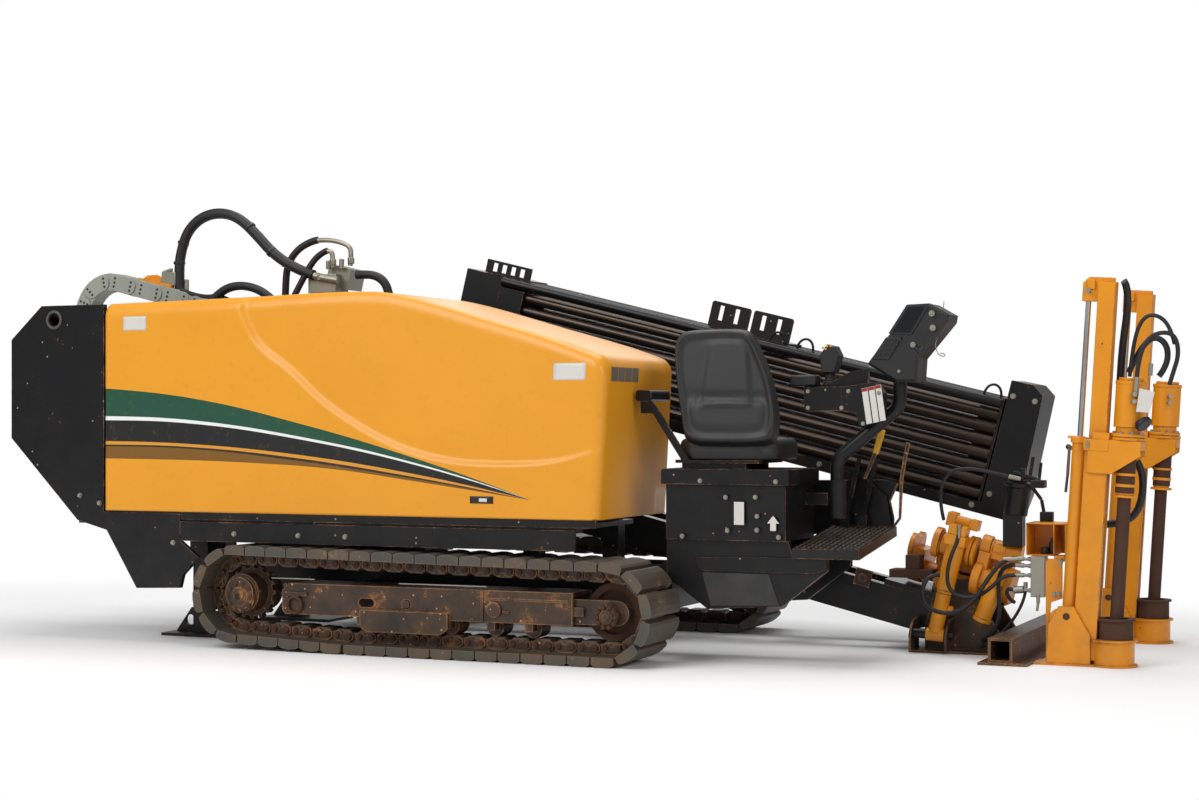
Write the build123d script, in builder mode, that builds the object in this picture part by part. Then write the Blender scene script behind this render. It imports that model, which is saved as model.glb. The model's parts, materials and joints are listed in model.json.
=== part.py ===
from build123d import *
import math
import os

# Horizontal directional drill on tracks. Millimetres, Z up, X towards the anchors,
# Y towards the rod box. The origin is on the ground under the middle of the machine.

os.makedirs("parts", exist_ok=True)

# Undercarriage
track_mid_y = -92.0
track_outer_half = 1100.0
shoe_width = 400.0
shoe_pitch = 125.0
shoe_height = 45.0
grouser_height = 14.0
link_height = 68.0
link_band_width = 120.0
wheel_r = 145.0
idler_x = 834.0
sprocket_x = -1272.0
sprocket_lift = 30.0
ramp_start_x = -620.0
roller_r = 46.0
roller_seat_gap = 0.3
track_plate = 14.0

# Chassis
rail_bottom = 250.0
rail_top = 430.0
rail_width = 110.0
rail_half_gap = 300.0
chassis_rear_x = -2000.0
skirt_beam_bottom = 556.0
skirt_beam_top = 645.0
skirt_beam_rear_x = -1673.0
skirt_beam_front_x = 646.0
skirt_wall = 20.0

# Hood
hood_near_y = -1092.0
hood_far_y = -192.0
hood_bottom = 712.0
hood_rear_x = -2160.0
hood_wall = 22.0
hood_press = 14.0

# Drill rack, in its own tilted frame: x down the drill line, z square to it
rack_tilt = 13.8
rack_half_width = 180.0
rack_x = 2345.0
rack_y = track_mid_y + track_outer_half - shoe_width - rack_half_width - 28.0
rack_z = 330.0
chassis_front_x = min(620.0, rack_x - 1725.0)
rack_rail_width = 70.0
rack_rail_top = -110.0
rack_rail_bottom = -300.0
rack_rear = -5390.0
rack_front = -120.0

# Rods and the rod box, in the rack's frame
rod_d = 60.0
joint_d = 72.7
rod_length = 3050.0
rod_front = -193.0
rod_rows = 7
rod_columns = 4
stack_gap = 0.3
rod_floor = 404.0
rod_box_near_y = 215.0

# Anchors
mast_lean = 3.5
anchor_near_y = rack_y - 512.0
anchor_far_y = rack_y + 677.0
anchor_column_x = rack_x + 622.0
anchor_shaft_offset = 140.0
anchor_barrel_offset = -92.0
anchor_stroke = 600.0
column_size = 112.0
inner_tube = 84.0
column_top = 1060.0
slide_bottom = 745.0
slide_top = 1890.0
flange_r = 115.0

running_gap = 0.3
clear = 6.0


def side_plane(y):
    """Side view: local x along X, local y along Z, extruding towards the near side."""
    return Plane(origin=(0, y, 0), x_dir=(1, 0, 0), z_dir=(0, -1, 0))


tilt_rad = math.radians(rack_tilt)
RACK = Plane(
    origin=(rack_x, rack_y, rack_z),
    x_dir=(math.cos(tilt_rad), 0, -math.sin(tilt_rad)),
    z_dir=(math.sin(tilt_rad), 0, math.cos(tilt_rad)),
)


def rack_side(y):
    """Side view of the rack's own frame at local y, extruding towards the near side."""
    return Plane(
        origin=RACK.from_local_coords((0, y, 0)),
        x_dir=RACK.x_dir,
        z_dir=(0, -1, 0),
    )


def rack_cross(x):
    """Section across the rack at local x: local x is along Y, local y is up."""
    return Plane(origin=RACK.from_local_coords((x, 0, 0)), x_dir=(0, 1, 0), z_dir=RACK.x_dir)


lean_rad = math.radians(mast_lean)


def mast_plane(y, offset=0.0, height=0.0):
    """Plane square to a leaning mast, offset forward of the column's axis."""
    foot = Plane(
        origin=(anchor_column_x, y, 0),
        x_dir=(math.cos(lean_rad), 0, -math.sin(lean_rad)),
        z_dir=(math.sin(lean_rad), 0, math.cos(lean_rad)),
    )
    return Plane(origin=foot.from_local_coords((offset, 0, height)), x_dir=foot.x_dir, z_dir=foot.z_dir)


def save(part, name):
    """Label a finished piece and write it."""
    part.label = name
    export_step(part, "parts/" + name + ".step")


# Tracks: one loop of shoes and links round the sprocket and the idler
belt_r = wheel_r + roller_seat_gap + link_height
track_r = belt_r + shoe_height
tip_drop = 0.3
idler_z = track_r + tip_drop
sprocket_z = idler_z + sprocket_lift
track_near_outer = track_mid_y - track_outer_half
track_far_outer = track_mid_y + track_outer_half


def belt_points(r, step):
    """Points and outward angles along the belt line at radius r, about a step apart."""
    axle_gap = idler_x - sprocket_x
    rise = math.atan2(sprocket_lift, axle_gap)
    ramp = math.hypot(ramp_start_x - sprocket_x, sprocket_lift)
    slope = math.asin(sprocket_lift / ramp)
    up = math.pi / 2
    runs = (
        ("line", sprocket_x, sprocket_z, up - rise, math.hypot(axle_gap, sprocket_lift)),
        ("arc", idler_x, idler_z, up - rise, math.pi - rise),
        ("line", idler_x, idler_z, -up, idler_x - ramp_start_x),
        ("line", ramp_start_x, idler_z, -up - slope, ramp),
        ("arc", sprocket_x, sprocket_z, -up - slope, math.pi - slope + rise),
    )
    lengths = [run[4] * (r if run[0] == "arc" else 1.0) for run in runs]
    total = sum(lengths)
    count = round(total / step)
    spots = []
    for index in range(count):
        distance = total * index / count
        for run, length in zip(runs, lengths):
            if distance <= length:
                break
            distance -= length
        kind, cx, cz, angle, amount = run
        if kind == "arc":
            angle -= distance / r
            distance = 0.0
        spots.append(
            (
                cx + r * math.cos(angle) + distance * math.sin(angle),
                cz + r * math.sin(angle) - distance * math.cos(angle),
                angle,
            )
        )
    return spots, total / count


# Outlines as share of the pitch along the belt and height over the links: a shoe with its
# bar, and the outer and inner side of a link, which is waisted where it meets the next
shoe_outline = (
    (-0.47, -6.0),
    (-0.47, shoe_height - grouser_height),
    (-0.36, shoe_height - 5.0),
    (-0.12, shoe_height),
    (0.12, shoe_height),
    (0.36, shoe_height - 5.0),
    (0.47, shoe_height - grouser_height),
    (0.47, -6.0),
)
link_outer = ((-0.36, -2.0), (0.36, -2.0))
link_inner = ((-0.38, 14.0 - link_height), (-0.3, -link_height), (0.3, -link_height), (0.38, 14.0 - link_height))


def along_belt(spot, pitch, outline):
    """An outline's points set out from one spot of the belt."""
    x, z, angle = spot
    return [
        (
            x + height * math.cos(angle) + share * pitch * math.sin(angle),
            z + height * math.sin(angle) - share * pitch * math.cos(angle),
        )
        for share, height in outline
    ]


def track_loop(outer_y, inward):
    """Separate shoes on a closed band of links, its outer face at outer_y."""
    spots, pitch = belt_points(belt_r, shoe_pitch)
    outer = [point for spot in spots for point in along_belt(spot, pitch, link_outer)]
    inner = [point for spot in spots for point in along_belt(spot, pitch, link_inner)]
    with BuildPart() as loop:
        with BuildSketch(side_plane(outer_y)):
            for spot in spots:
                with BuildLine():
                    Polyline(*along_belt(spot, pitch, shoe_outline), close=True)
                make_face()
        extrude(amount=-inward * shoe_width)
        with BuildSketch(side_plane(outer_y + inward * shoe_width / 2)):
            with BuildLine():
                Polyline(*outer, close=True)
            make_face()
            with BuildLine():
                Polyline(*inner, close=True)
            make_face(mode=Mode.SUBTRACT)
        extrude(amount=link_band_width / 2, both=True)
    return loop


track_near = track_loop(track_near_outer, 1)
save(track_near.part, "track_near")
track_far = track_loop(track_far_outer, -1)
save(track_far.part, "track_far")

band_near_y = track_near_outer + shoe_width / 2
band_far_y = track_far_outer - shoe_width / 2
band_centres = (band_near_y, band_far_y)
frame_half = 115.0
hub_half = 150.0

# Track frames: two side plates and a top, with a yoke to the idler and a guard below
frame_rear_x = sprocket_x + 250.0
frame_front_x = idler_x - 190.0
frame_top = 352.0
frame_bottom = 190.0
yoke_half_height = 62.0
guard_rear_x = -543.0
guard_front_x = -36.0
guard_bottom = 118.0
window_x = -518.0
window_z = 264.0
plug_x = -286.0
with BuildPart() as track_frames:
    for mid in band_centres:
        side = -1 if mid < track_mid_y else 1
        for edge in (-1, 1):
            with BuildSketch(side_plane(mid + edge * frame_half)):
                with BuildLine():
                    Polyline(
                        (frame_rear_x, frame_bottom + 20),
                        (frame_rear_x, frame_top - 40),
                        (frame_rear_x + 40, frame_top),
                        (frame_front_x, frame_top),
                        (frame_front_x, frame_bottom),
                        (frame_rear_x + 20, frame_bottom),
                        close=True,
                    )
                make_face()
            extrude(amount=track_plate / 2, both=True)
            with BuildSketch(side_plane(mid + edge * (frame_half - 30))):
                with Locations(((frame_front_x + idler_x) / 2 - 30, idler_z)):
                    SlotOverall(idler_x - frame_front_x + 2 * yoke_half_height + 140, 2 * yoke_half_height)
                with Locations((idler_x, idler_z)):
                    Circle(32 + clear, mode=Mode.SUBTRACT)
            extrude(amount=10, both=True)
        with Locations(((frame_rear_x + frame_front_x) / 2 + 20, mid, frame_top - 10)):
            Box(frame_front_x - frame_rear_x - 60, 2 * frame_half, 20)
        with Locations((frame_front_x - 60, mid, (frame_top + frame_bottom) / 2 + 20)):
            Box(60, 2 * frame_half, 70)
        with Locations((frame_rear_x + 60, mid, (frame_top + frame_bottom) / 2 + 10)):
            Box(60, 2 * frame_half, 90)
        with BuildSketch(side_plane(mid + side * frame_half)):
            with Locations((window_x, window_z)):
                SlotOverall(90, 44)
            with Locations((plug_x, window_z)):
                RegularPolygon(26, 12)
        extrude(amount=track_plate, both=True, mode=Mode.SUBTRACT)
        with BuildSketch(side_plane(mid + side * (frame_half + track_plate / 2))):
            with BuildLine():
                Polyline(
                    (guard_rear_x, frame_bottom + 40),
                    (guard_rear_x, guard_bottom + 30),
                    (guard_rear_x + 40, guard_bottom),
                    (guard_front_x - 40, guard_bottom),
                    (guard_front_x, guard_bottom + 30),
                    (guard_front_x, frame_bottom + 40),
                    close=True,
                )
            make_face()
        extrude(amount=-side * 26)
save(track_frames.part, "track_frames")

with BuildPart() as idler_wheels:
    for mid in band_centres:
        with BuildSketch(side_plane(mid)):
            with Locations((idler_x, idler_z)):
                Circle(wheel_r)
                Circle(wheel_r - 34, mode=Mode.SUBTRACT)
        extrude(amount=36, both=True)
        with BuildSketch(side_plane(mid)):
            with Locations((idler_x, idler_z)):
                Circle(wheel_r - 30)
        extrude(amount=14, both=True)
        with BuildSketch(side_plane(mid)):
            with Locations((idler_x, idler_z)):
                Circle(32 + clear - running_gap)
        extrude(amount=frame_half - 12, both=True)
save(idler_wheels.part, "idler_wheels")

tooth_count = 16
tooth_length = 28.0
with BuildPart() as drive_sprockets:
    for mid in band_centres:
        side = -1 if mid < track_mid_y else 1
        with BuildSketch(side_plane(mid)):
            with Locations((sprocket_x, sprocket_z)):
                Circle(wheel_r - 16)
                with PolarLocations(wheel_r - tooth_length / 2 - 0.5, tooth_count):
                    Rectangle(tooth_length, 20)
        extrude(amount=22, both=True)
        with BuildSketch(side_plane(mid)):
            with Locations((sprocket_x, sprocket_z)):
                Circle(104)
        extrude(amount=hub_half - 30, both=True)
        with BuildSketch(side_plane(mid + side * (hub_half - 30))):
            with Locations((sprocket_x, sprocket_z)):
                Circle(86)
        extrude(amount=-side * 26)
        with BuildSketch(side_plane(mid + side * (hub_half - 4))):
            with Locations((sprocket_x, sprocket_z)):
                Circle(34)
        extrude(amount=-side * 12)
save(drive_sprockets.part, "drive_sprockets")

roller_z = tip_drop + shoe_height + link_height + roller_r + roller_seat_gap
roller_spots = (-560.0, -300.0, -60.0, 190.0, 400.0)
with BuildPart() as track_rollers:
    for mid in band_centres:
        for x in roller_spots:
            with BuildSketch(side_plane(mid)):
                with Locations((x, roller_z)):
                    RegularPolygon(roller_r, 16, major_radius=False, rotation=11.25)
            extrude(amount=54, both=True)
            with BuildSketch(side_plane(mid)):
                with Locations((x, roller_z + 18)):
                    Rectangle(44, 56)
            extrude(amount=frame_half - track_plate / 2 - running_gap, both=True)
save(track_rollers.part, "track_rollers")

# Chassis: two rails, cross members that carry the track frames, and a deck
cross_spots = (-760.0, chassis_front_x - 290.0)
cross_member_top = rail_top - 15.0
with BuildPart() as main_frame:
    for side in (-1, 1):
        with Locations(
            ((chassis_rear_x + chassis_front_x) / 2, track_mid_y + side * rail_half_gap, (rail_bottom + rail_top) / 2)
        ):
            Box(chassis_front_x - chassis_rear_x, rail_width, rail_top - rail_bottom)
    inner_edge = frame_half + track_plate / 2
    for x in cross_spots:
        with Locations((x, track_mid_y, 290)):
            Box(150, 2 * (track_outer_half - shoe_width / 2 - inner_edge) - 2 * running_gap, 80)
    for x in (chassis_rear_x + 60, -1272.0, -200.0, chassis_front_x - 50):
        with Locations((x, track_mid_y, cross_member_top - 45)):
            Box(100, 2 * rail_half_gap, 90)
    # hood side deck and its outriggers over the near track
    with Locations(((skirt_beam_rear_x + skirt_beam_front_x) / 2, -700, 672)):
        Box(skirt_beam_front_x - skirt_beam_rear_x, 2 * (1072 - 700), 24)
    # sill that the hood's near edge rests on
    sill_top = hood_bottom - running_gap
    with Locations(((skirt_beam_rear_x + 760) / 2, hood_near_y + 11, (672 + sill_top) / 2)):
        Box(760 - skirt_beam_rear_x, 14, sill_top - 672)
    for x in (-1500.0, -700.0, 100.0, 560.0):
        with Locations((x, -392, 545)):
            Box(90, 90, 240)
save(main_frame.part, "main_frame")

deck_near_y = -1092.0
with BuildPart() as side_beam:
    with BuildSketch(side_plane(deck_near_y)):
        with BuildLine():
            Polyline(
                (skirt_beam_rear_x, skirt_beam_top),
                (skirt_beam_rear_x, skirt_beam_bottom),
                (skirt_beam_front_x, skirt_beam_bottom),
                (skirt_beam_front_x, skirt_beam_top),
                close=True,
            )
        make_face()
    extrude(amount=-skirt_wall)
    with Locations(((skirt_beam_rear_x + skirt_beam_front_x) / 2, deck_near_y + 50, skirt_beam_top + 7.3)):
        Box(skirt_beam_front_x - skirt_beam_rear_x, 100, 14.8)
save(side_beam.part, "side_beam")

# Rear guard: a thick side plate with a lifting eye, its skirt behind the track and a rear wall
guard_hole = (-2503.0, 1758.0)
guard_hole_r = 32.0
with BuildPart() as rear_guard:
    with BuildSketch(side_plane(deck_near_y)):
        with BuildLine():
            Polyline(
                (-2797, 1652),
                (-2797, 1104),
                (-2348, 655),
                (-2154, 604),
                (-1957, 293),
                (-1679, 302),
                (-1660, 372),
                (-1560, 470),
                (skirt_beam_rear_x - 3, skirt_beam_bottom),
                (skirt_beam_rear_x - 3, 700),
                (hood_rear_x - 12, 704),
                (hood_rear_x - 12, 1838),
                (-2591, 1837),
                close=True,
            )
        make_face()
        with Locations(guard_hole):
            Circle(guard_hole_r, mode=Mode.SUBTRACT)
    extrude(amount=-30)
    with BuildSketch(side_plane(hood_far_y - 4)):
        with BuildLine():
            Polyline(
                (-2797, 1640),
                (-2797, 1104),
                (-2348, 655),
                (-2154, 604),
                (-1990, 500),
                (-1990, cross_member_top + running_gap),
                (-1900, cross_member_top + running_gap),
                (-1900, 700),
                (hood_rear_x - 12, 704),
                (hood_rear_x - 12, 1838),
                (-2591, 1837),
                close=True,
            )
        make_face()
    extrude(amount=30)
    with Locations((-2782, (hood_near_y + hood_far_y) / 2, 1378)):
        Box(30, hood_far_y - hood_near_y - 6, 540)
    with Locations((-2240, (hood_near_y + hood_far_y) / 2, 655)):
        Box(200, hood_far_y - hood_near_y - 6, 30)
save(rear_guard.part, "rear_guard")

grille_mid_y = (hood_near_y + 30 + hood_far_y - 34) / 2
grille_width = hood_far_y - 34 - hood_near_y - 30 - 2 * running_gap
with BuildPart() as rear_grille:
    with Locations((-2640, grille_mid_y, 1680)):
        Box(240, grille_width, 20)
    with Locations((-2380, grille_mid_y, 1775)):
        Box(420, grille_width, 12)
    for index in range(9):
        with Locations((-2560 + index * 46, grille_mid_y, 1795)):
            Box(12, grille_width, 30)
    with Locations((-2560, grille_mid_y, 1730)):
        Box(60, grille_width, 96)
save(rear_grille.part, "rear_grille")

# Engine: one plain block at its real place
with BuildPart() as engine_block:
    with Locations((-1000, -640, 684 + running_gap + 380)):
        Box(1150, 520, 760)
    fillet(engine_block.edges().filter_by(Axis.Z), 40)
save(engine_block.part, "engine_block")

hinge_y = hood_far_y + 16.0
hinge_z = 1852.0
hinge_spots = (-1950.0, -1200.0, -520.0)
hinge_pin_r = 8.0
hinge_eye_r = 11.0
hinge_leg = 72.0
knuckle_length = 70.0
with BuildPart() as bay_wall:
    with BuildSketch(side_plane(hood_far_y + 30)):
        with BuildLine():
            Polyline(
                (hood_rear_x + 20, 690),
                (hood_rear_x + 20, 1800),
                (-700, 1810),
                (-180, 1680),
                (480, 1500),
                (520, 690),
                close=True,
            )
        make_face()
    extrude(amount=10)
    with Locations((-710, (hood_far_y + 35 - 370) / 2, 684 + running_gap + 3)):
        Box(2360, 370 + hood_far_y + 35, 6)
    for x in hinge_spots:
        for end in (-1, 1):
            bracket_x = x + end * (knuckle_length / 2 + 6)
            with BuildSketch(Plane(origin=(bracket_x, hinge_y, hinge_z), x_dir=(0, 1, 0), z_dir=(1, 0, 0))):
                Circle(hinge_eye_r)
                with Locations((2, -hinge_leg / 2)):
                    Rectangle(20, hinge_leg)
            extrude(amount=5, both=True)
        with BuildSketch(Plane(origin=(x, hinge_y, hinge_z), x_dir=(0, 1, 0), z_dir=(1, 0, 0))):
            Circle(hinge_pin_r - running_gap)
        extrude(amount=knuckle_length / 2 + 8, both=True)
save(bay_wall.part, "bay_wall")

# Hood: a moulded cover, open underneath, hinged along its far top edge
hood_roof = ((hood_rear_x, 1844), (-1237, 1863), (-688, 1876), (-390, 1859), (185, 1704), (519, 1603))
hood_front_top = (812, 1492)
hood_front_foot = 770
# Step of the near side, from the roof to the front: above it the side is pressed in
hood_step = (
    (-1360, 1900),
    (-1300, 1800),
    (-1200, 1620),
    (-1000, 1470),
    (-780, 1290),
    (-510, 1135),
    (-280, 1045),
    (-40, 995),
    (190, 982),
    (450, 990),
    (620, 1020),
    (850, 1090),
)
side_wall = hood_wall + hood_press
with BuildPart() as hood:
    with BuildSketch(side_plane(hood_far_y)):
        with BuildLine():
            Polyline(
                (hood_rear_x, hood_bottom),
                *hood_roof,
                hood_front_top,
                (hood_front_foot, hood_bottom),
                close=True,
            )
        make_face()
    extrude(amount=hood_far_y - hood_near_y)
    near_edges = hood.faces().sort_by(Axis.Y)[0].edges()
    fillet(near_edges.filter_by(lambda edge: edge.center().Z > 900 and edge.center().X > hood_rear_x + 1), 60)
    with BuildSketch(side_plane(hood_far_y + 1)):
        with BuildLine():
            Polyline(
                (hood_rear_x - 1, hood_bottom - 1),
                (hood_rear_x - 1, hood_roof[0][1] - hood_wall),
                *[(x, z - hood_wall) for x, z in hood_roof[1:]],
                (hood_front_top[0] - hood_wall, hood_front_top[1] - hood_wall),
                (hood_front_foot - hood_wall, hood_bottom - 1),
                close=True,
            )
        make_face()
    extrude(amount=hood_far_y - hood_near_y - side_wall + 1, mode=Mode.SUBTRACT)
    with BuildSketch(side_plane(hood_near_y - 1)):
        with BuildLine():
            Polyline(*hood_step, (900, 1090), (900, 1900), close=True)
        make_face()
    extrude(amount=-hood_press - 1, mode=Mode.SUBTRACT)
    for x in hinge_spots:
        with Locations((x, hinge_y - 10, hinge_z - 3)):
            Box(knuckle_length, 40, 16)
        with BuildSketch(Plane(origin=(x, hinge_y, hinge_z), x_dir=(0, 1, 0), z_dir=(1, 0, 0))):
            Circle(14)
        extrude(amount=knuckle_length / 2, both=True)
        with BuildSketch(Plane(origin=(x, hinge_y, hinge_z), x_dir=(0, 1, 0), z_dir=(1, 0, 0))):
            Circle(hinge_pin_r)
        extrude(amount=knuckle_length / 2, both=True, mode=Mode.SUBTRACT)
save(hood.part, "hood")

# Operator's station
seat_box_x = 1320.0
seat_box_y = -540.0
seat_box_length = 670.0
seat_box_width = 500.0
with BuildPart() as seat_box:
    with Locations((seat_box_x, seat_box_y, 770.3)):
        Box(seat_box_length - 40, seat_box_width - 40, 320)
    with Locations((seat_box_x, seat_box_y, 925)):
        Box(seat_box_length, seat_box_width, 76)
save(seat_box.part, "seat_box")

seat_box_top = 963.0
rail_height = 28.0
seat_rail_top = seat_box_top + running_gap + rail_height + 16
with BuildPart() as seat_rails:
    for dy in (-150, 150):
        with Locations((1240, seat_box_y + dy, seat_box_top + running_gap + rail_height / 2)):
            Box(340, 50, rail_height)
    with Locations((1260, seat_box_y, seat_rail_top - 8)):
        Box(440, 380, 16)
save(seat_rails.part, "seat_rails")

seat_x = 1305.0
cushion_height = 120.0
with BuildPart() as seat_cushion:
    with BuildSketch(Plane.XY.offset(seat_rail_top + running_gap)):
        with Locations((seat_x - 15, seat_box_y + 62)):
            RectangleRounded(540, 470, 80)
    extrude(amount=cushion_height, taper=6)
    fillet(seat_cushion.faces().sort_by(Axis.Z)[-1].edges(), 30)
save(seat_cushion.part, "seat_cushion")

# Back: a moulded shell, wider at its foot, that tapers towards its rear face
seat_lean = 0.12
with BuildPart() as seat_back:
    with BuildSketch(Plane(origin=(seat_x, seat_box_y - 162.4, 1110), x_dir=(1, 0, 0), z_dir=(0, -1, seat_lean))):
        with BuildLine():
            Polyline(
                (250, -40),
                (285, 100),
                (235, 320),
                (150, 490),
                (85, 555),
                (-225, 555),
                (-280, 500),
                (-280, 390),
                (-215, -40),
                close=True,
            )
        make_face()
    extrude(amount=70, taper=22)
save(seat_back.part, "seat_back")

armrest_y = -600.0
with BuildPart() as armrest:
    with BuildSketch(side_plane(armrest_y)):
        with Locations((866, 1330)):
            RectangleRounded(86, 56, 16)
    extrude(amount=130, both=True)
    with BuildSketch(side_plane(armrest_y - 122)):
        with BuildLine():
            Polyline(
                (850, 1310),
                (850, 1240),
                (915, 1240),
                (1070, seat_rail_top + running_gap),
                (1112, seat_rail_top + running_gap),
                (945, 1262),
                (905, 1310),
                close=True,
            )
        make_face()
    extrude(amount=6, both=True)
save(armrest.part, "armrest")

platform_x = 1840.0
platform_y = -440.0
platform_z = 596.0
platform_slope = 0.12
platform_thick = 50.0
platform_drop = platform_thick / 2 * math.hypot(1, platform_slope)


def platform_top(y):
    """Height of the tread's upper face at Y."""
    return platform_z + (y - platform_y) * platform_slope + platform_drop


bracket_plate = 32.0
with BuildPart() as platform_bracket:
    for y in (-730.0, -330.0):
        seat_z = platform_top(y - bracket_plate / 2) - 2 * platform_drop - running_gap
        with BuildSketch(side_plane(y)):
            with BuildLine():
                Polyline(
                    (1000, 610),
                    (1640, 610),
                    (1664, seat_z),
                    (1840, seat_z),
                    (1840, 470),
                    (1610, 292),
                    (1219, 264),
                    (1000, 420),
                    close=True,
                )
            make_face()
        extrude(amount=bracket_plate / 2, both=True)
    with Locations((1300, -530, 300)):
        Box(160, 390, 24)
    with Locations((1230, -530, 598)):
        Box(440, 390, 24)
    link_rear = chassis_front_x + running_gap
    with Locations(((link_rear + 1010) / 2, track_mid_y - rail_half_gap, 330)):
        Box(1010 - link_rear, rail_width, 150)
    with Locations((1010, -530, 420)):
        Box(24, 390, 330)
save(platform_bracket.part, "platform_bracket")

with BuildPart(
    Plane(origin=(platform_x, platform_y, platform_z), x_dir=(1, 0, 0), z_dir=(0, -platform_slope, 1))
) as foot_platform:
    Box(340, 690, platform_thick)
save(foot_platform.part, "foot_platform")

guard_y = -110.0
with BuildPart() as guard_plate:
    with BuildSketch(side_plane(guard_y)):
        with BuildLine():
            floor_z = platform_top(guard_y) + 0.7
            Polyline((1690, floor_z), (1780, 960), (1960, 820), (1990, floor_z), close=True)
        make_face()
    extrude(amount=10)
save(guard_plate.part, "guard_plate")

lever_y = -160.0
with BuildPart() as control_levers:
    for lever_x in (1760.0, 1850.0):
        with BuildSketch(side_plane(lever_y)):
            with Locations((lever_x, platform_top(lever_y) + 3 + 30)):
                Rectangle(46, 60)
        extrude(amount=20, both=True)
        with BuildSketch(side_plane(lever_y)):
            with BuildLine():
                Polyline(
                    (lever_x - 6, platform_top(lever_y) + 60),
                    (lever_x + 60, 1010),
                    (lever_x + 80, 1010),
                    (lever_x + 12, platform_top(lever_y) + 60),
                    close=True,
                )
            make_face()
        extrude(amount=6, both=True)
save(control_levers.part, "control_levers")

# Console on its bent post
post_x = seat_box_x + seat_box_length / 2 + 135.0
post_y = -420.0
post_bottom = 715.0
post_r = 33.7
socket_r = 48.0
console_top = 1372.0
with BuildPart() as post_socket:
    arm_rear = seat_box_x + seat_box_length / 2 - 20 + running_gap
    with Locations(((arm_rear + post_x - 40) / 2, post_y, post_bottom + 95)):
        Box(post_x - 40 - arm_rear, 60, 60)
    with Locations((post_x, post_y, post_bottom + 95)):
        Cylinder(socket_r, 190)
        Cylinder(post_r + running_gap, 190, mode=Mode.SUBTRACT)
save(post_socket.part, "post_socket")

with BuildPart() as console_post:
    with BuildLine() as post_line:
        FilletPolyline(
            (post_x, post_y, post_bottom),
            (post_x, post_y, 1010),
            (post_x + 325, post_y, 1275),
            (post_x + 325, post_y, 1395),
            radius=90,
        )
    with BuildSketch(Plane(origin=post_line.line @ 0, z_dir=post_line.line % 0)):
        Circle(post_r)
    sweep()
save(console_post.part, "console_post")

# Box of the joystick and its side panel, and the wedge up to the display
panel_y = post_y - post_r - running_gap
with BuildPart() as console_box:
    with BuildSketch(side_plane(post_y)):
        with BuildLine():
            Polyline(
                (post_x - 134, 1250),
                (post_x - 134, console_top),
                (post_x + 80, console_top),
                (post_x + 80, 1254),
                close=True,
            )
        make_face()
    extrude(amount=120, both=True)
    with BuildSketch(side_plane(panel_y)):
        with BuildLine():
            Polyline(
                (post_x + 60, 1254),
                (post_x + 60, console_top),
                (post_x + 229, 1394),
                (post_x + 268, 1340),
                (post_x + 265, 1203),
                (post_x + 151, 1173),
                (post_x + 135, 1240),
                close=True,
            )
        make_face()
    extrude(amount=120 - post_r)
    with BuildSketch(side_plane(panel_y)):
        with BuildLine():
            Polyline(
                (post_x - 80, console_top - 10),
                (post_x + 95, 1450),
                (post_x + 180, 1460),
                (post_x + 180, console_top - 10),
                close=True,
            )
        make_face()
    extrude(amount=30)
save(console_box.part, "console_box")

# Display: screen head over a keypad, standing on the post's upper end
with BuildPart() as display_unit:
    with BuildSketch(side_plane(post_y)):
        with BuildLine():
            Polyline(
                (post_x + 330, 1395.3),
                (post_x + 182, 1485),
                (post_x + 268, 1600),
                (post_x + 300, 1636),
                (post_x + 388, 1772),
                (post_x + 500, 1776),
                (post_x + 594, 1722),
                (post_x + 587, 1685),
                (post_x + 440, 1510),
                (post_x + 432, 1395.3),
                close=True,
            )
        make_face()
    extrude(amount=95, both=True)
    chamfer(display_unit.faces().sort_by(Axis.Y)[0].edges(), 12)
save(display_unit.part, "display_unit")

with BuildPart() as joystick:
    with BuildSketch(Plane.XY.offset(console_top + running_gap)):
        with Locations((post_x - 40, post_y + 20)):
            RegularPolygon(44, 16)
    extrude(amount=70, taper=20)
    with BuildSketch(side_plane(post_y + 20)):
        with BuildLine():
            Polyline(
                (post_x - 78, 1440),
                (post_x - 90, 1530),
                (post_x - 50, 1588),
                (post_x - 5, 1577),
                (post_x + 18, 1530),
                (post_x - 8, 1440),
                close=True,
            )
        make_face()
    extrude(amount=36, both=True)
    chamfer(joystick.faces().sort_by(Axis.Y)[0].edges(), 8)
save(joystick.part, "joystick")

# Rack stand on the chassis, round the rack's pivot
stand_x = -1161.13
pivot_z = (rack_rail_top + rack_rail_bottom) / 2
pivot_x = (stand_x - rack_x - pivot_z * math.sin(tilt_rad)) / math.cos(tilt_rad)
pivot_point = RACK.from_local_coords((pivot_x, 0, pivot_z))
stand_gap = 5.0
stand_plate = 20.0
with BuildPart() as rack_stand:
    for side in (-1, 1):
        face = rack_y + side * (rack_half_width + stand_gap + stand_plate / 2)
        with BuildSketch(side_plane(face)):
            with BuildLine():
                Polyline(
                    (pivot_point.X - 260, rail_top + 26),
                    (pivot_point.X - 70, pivot_point.Z + 60),
                    (pivot_point.X + 70, pivot_point.Z + 60),
                    (pivot_point.X + 260, rail_top + 26),
                    close=True,
                )
            make_face()
            with Locations((pivot_point.X, pivot_point.Z)):
                Circle(30, mode=Mode.SUBTRACT)
        extrude(amount=stand_plate / 2, both=True)
    with Locations((pivot_point.X, (rack_y + rack_half_width + stand_gap + stand_plate - 447) / 2, rail_top + 13)):
        Box(520, rack_y + rack_half_width + stand_gap + stand_plate + 447, 26)
save(rack_stand.part, "rack_stand")

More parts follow.
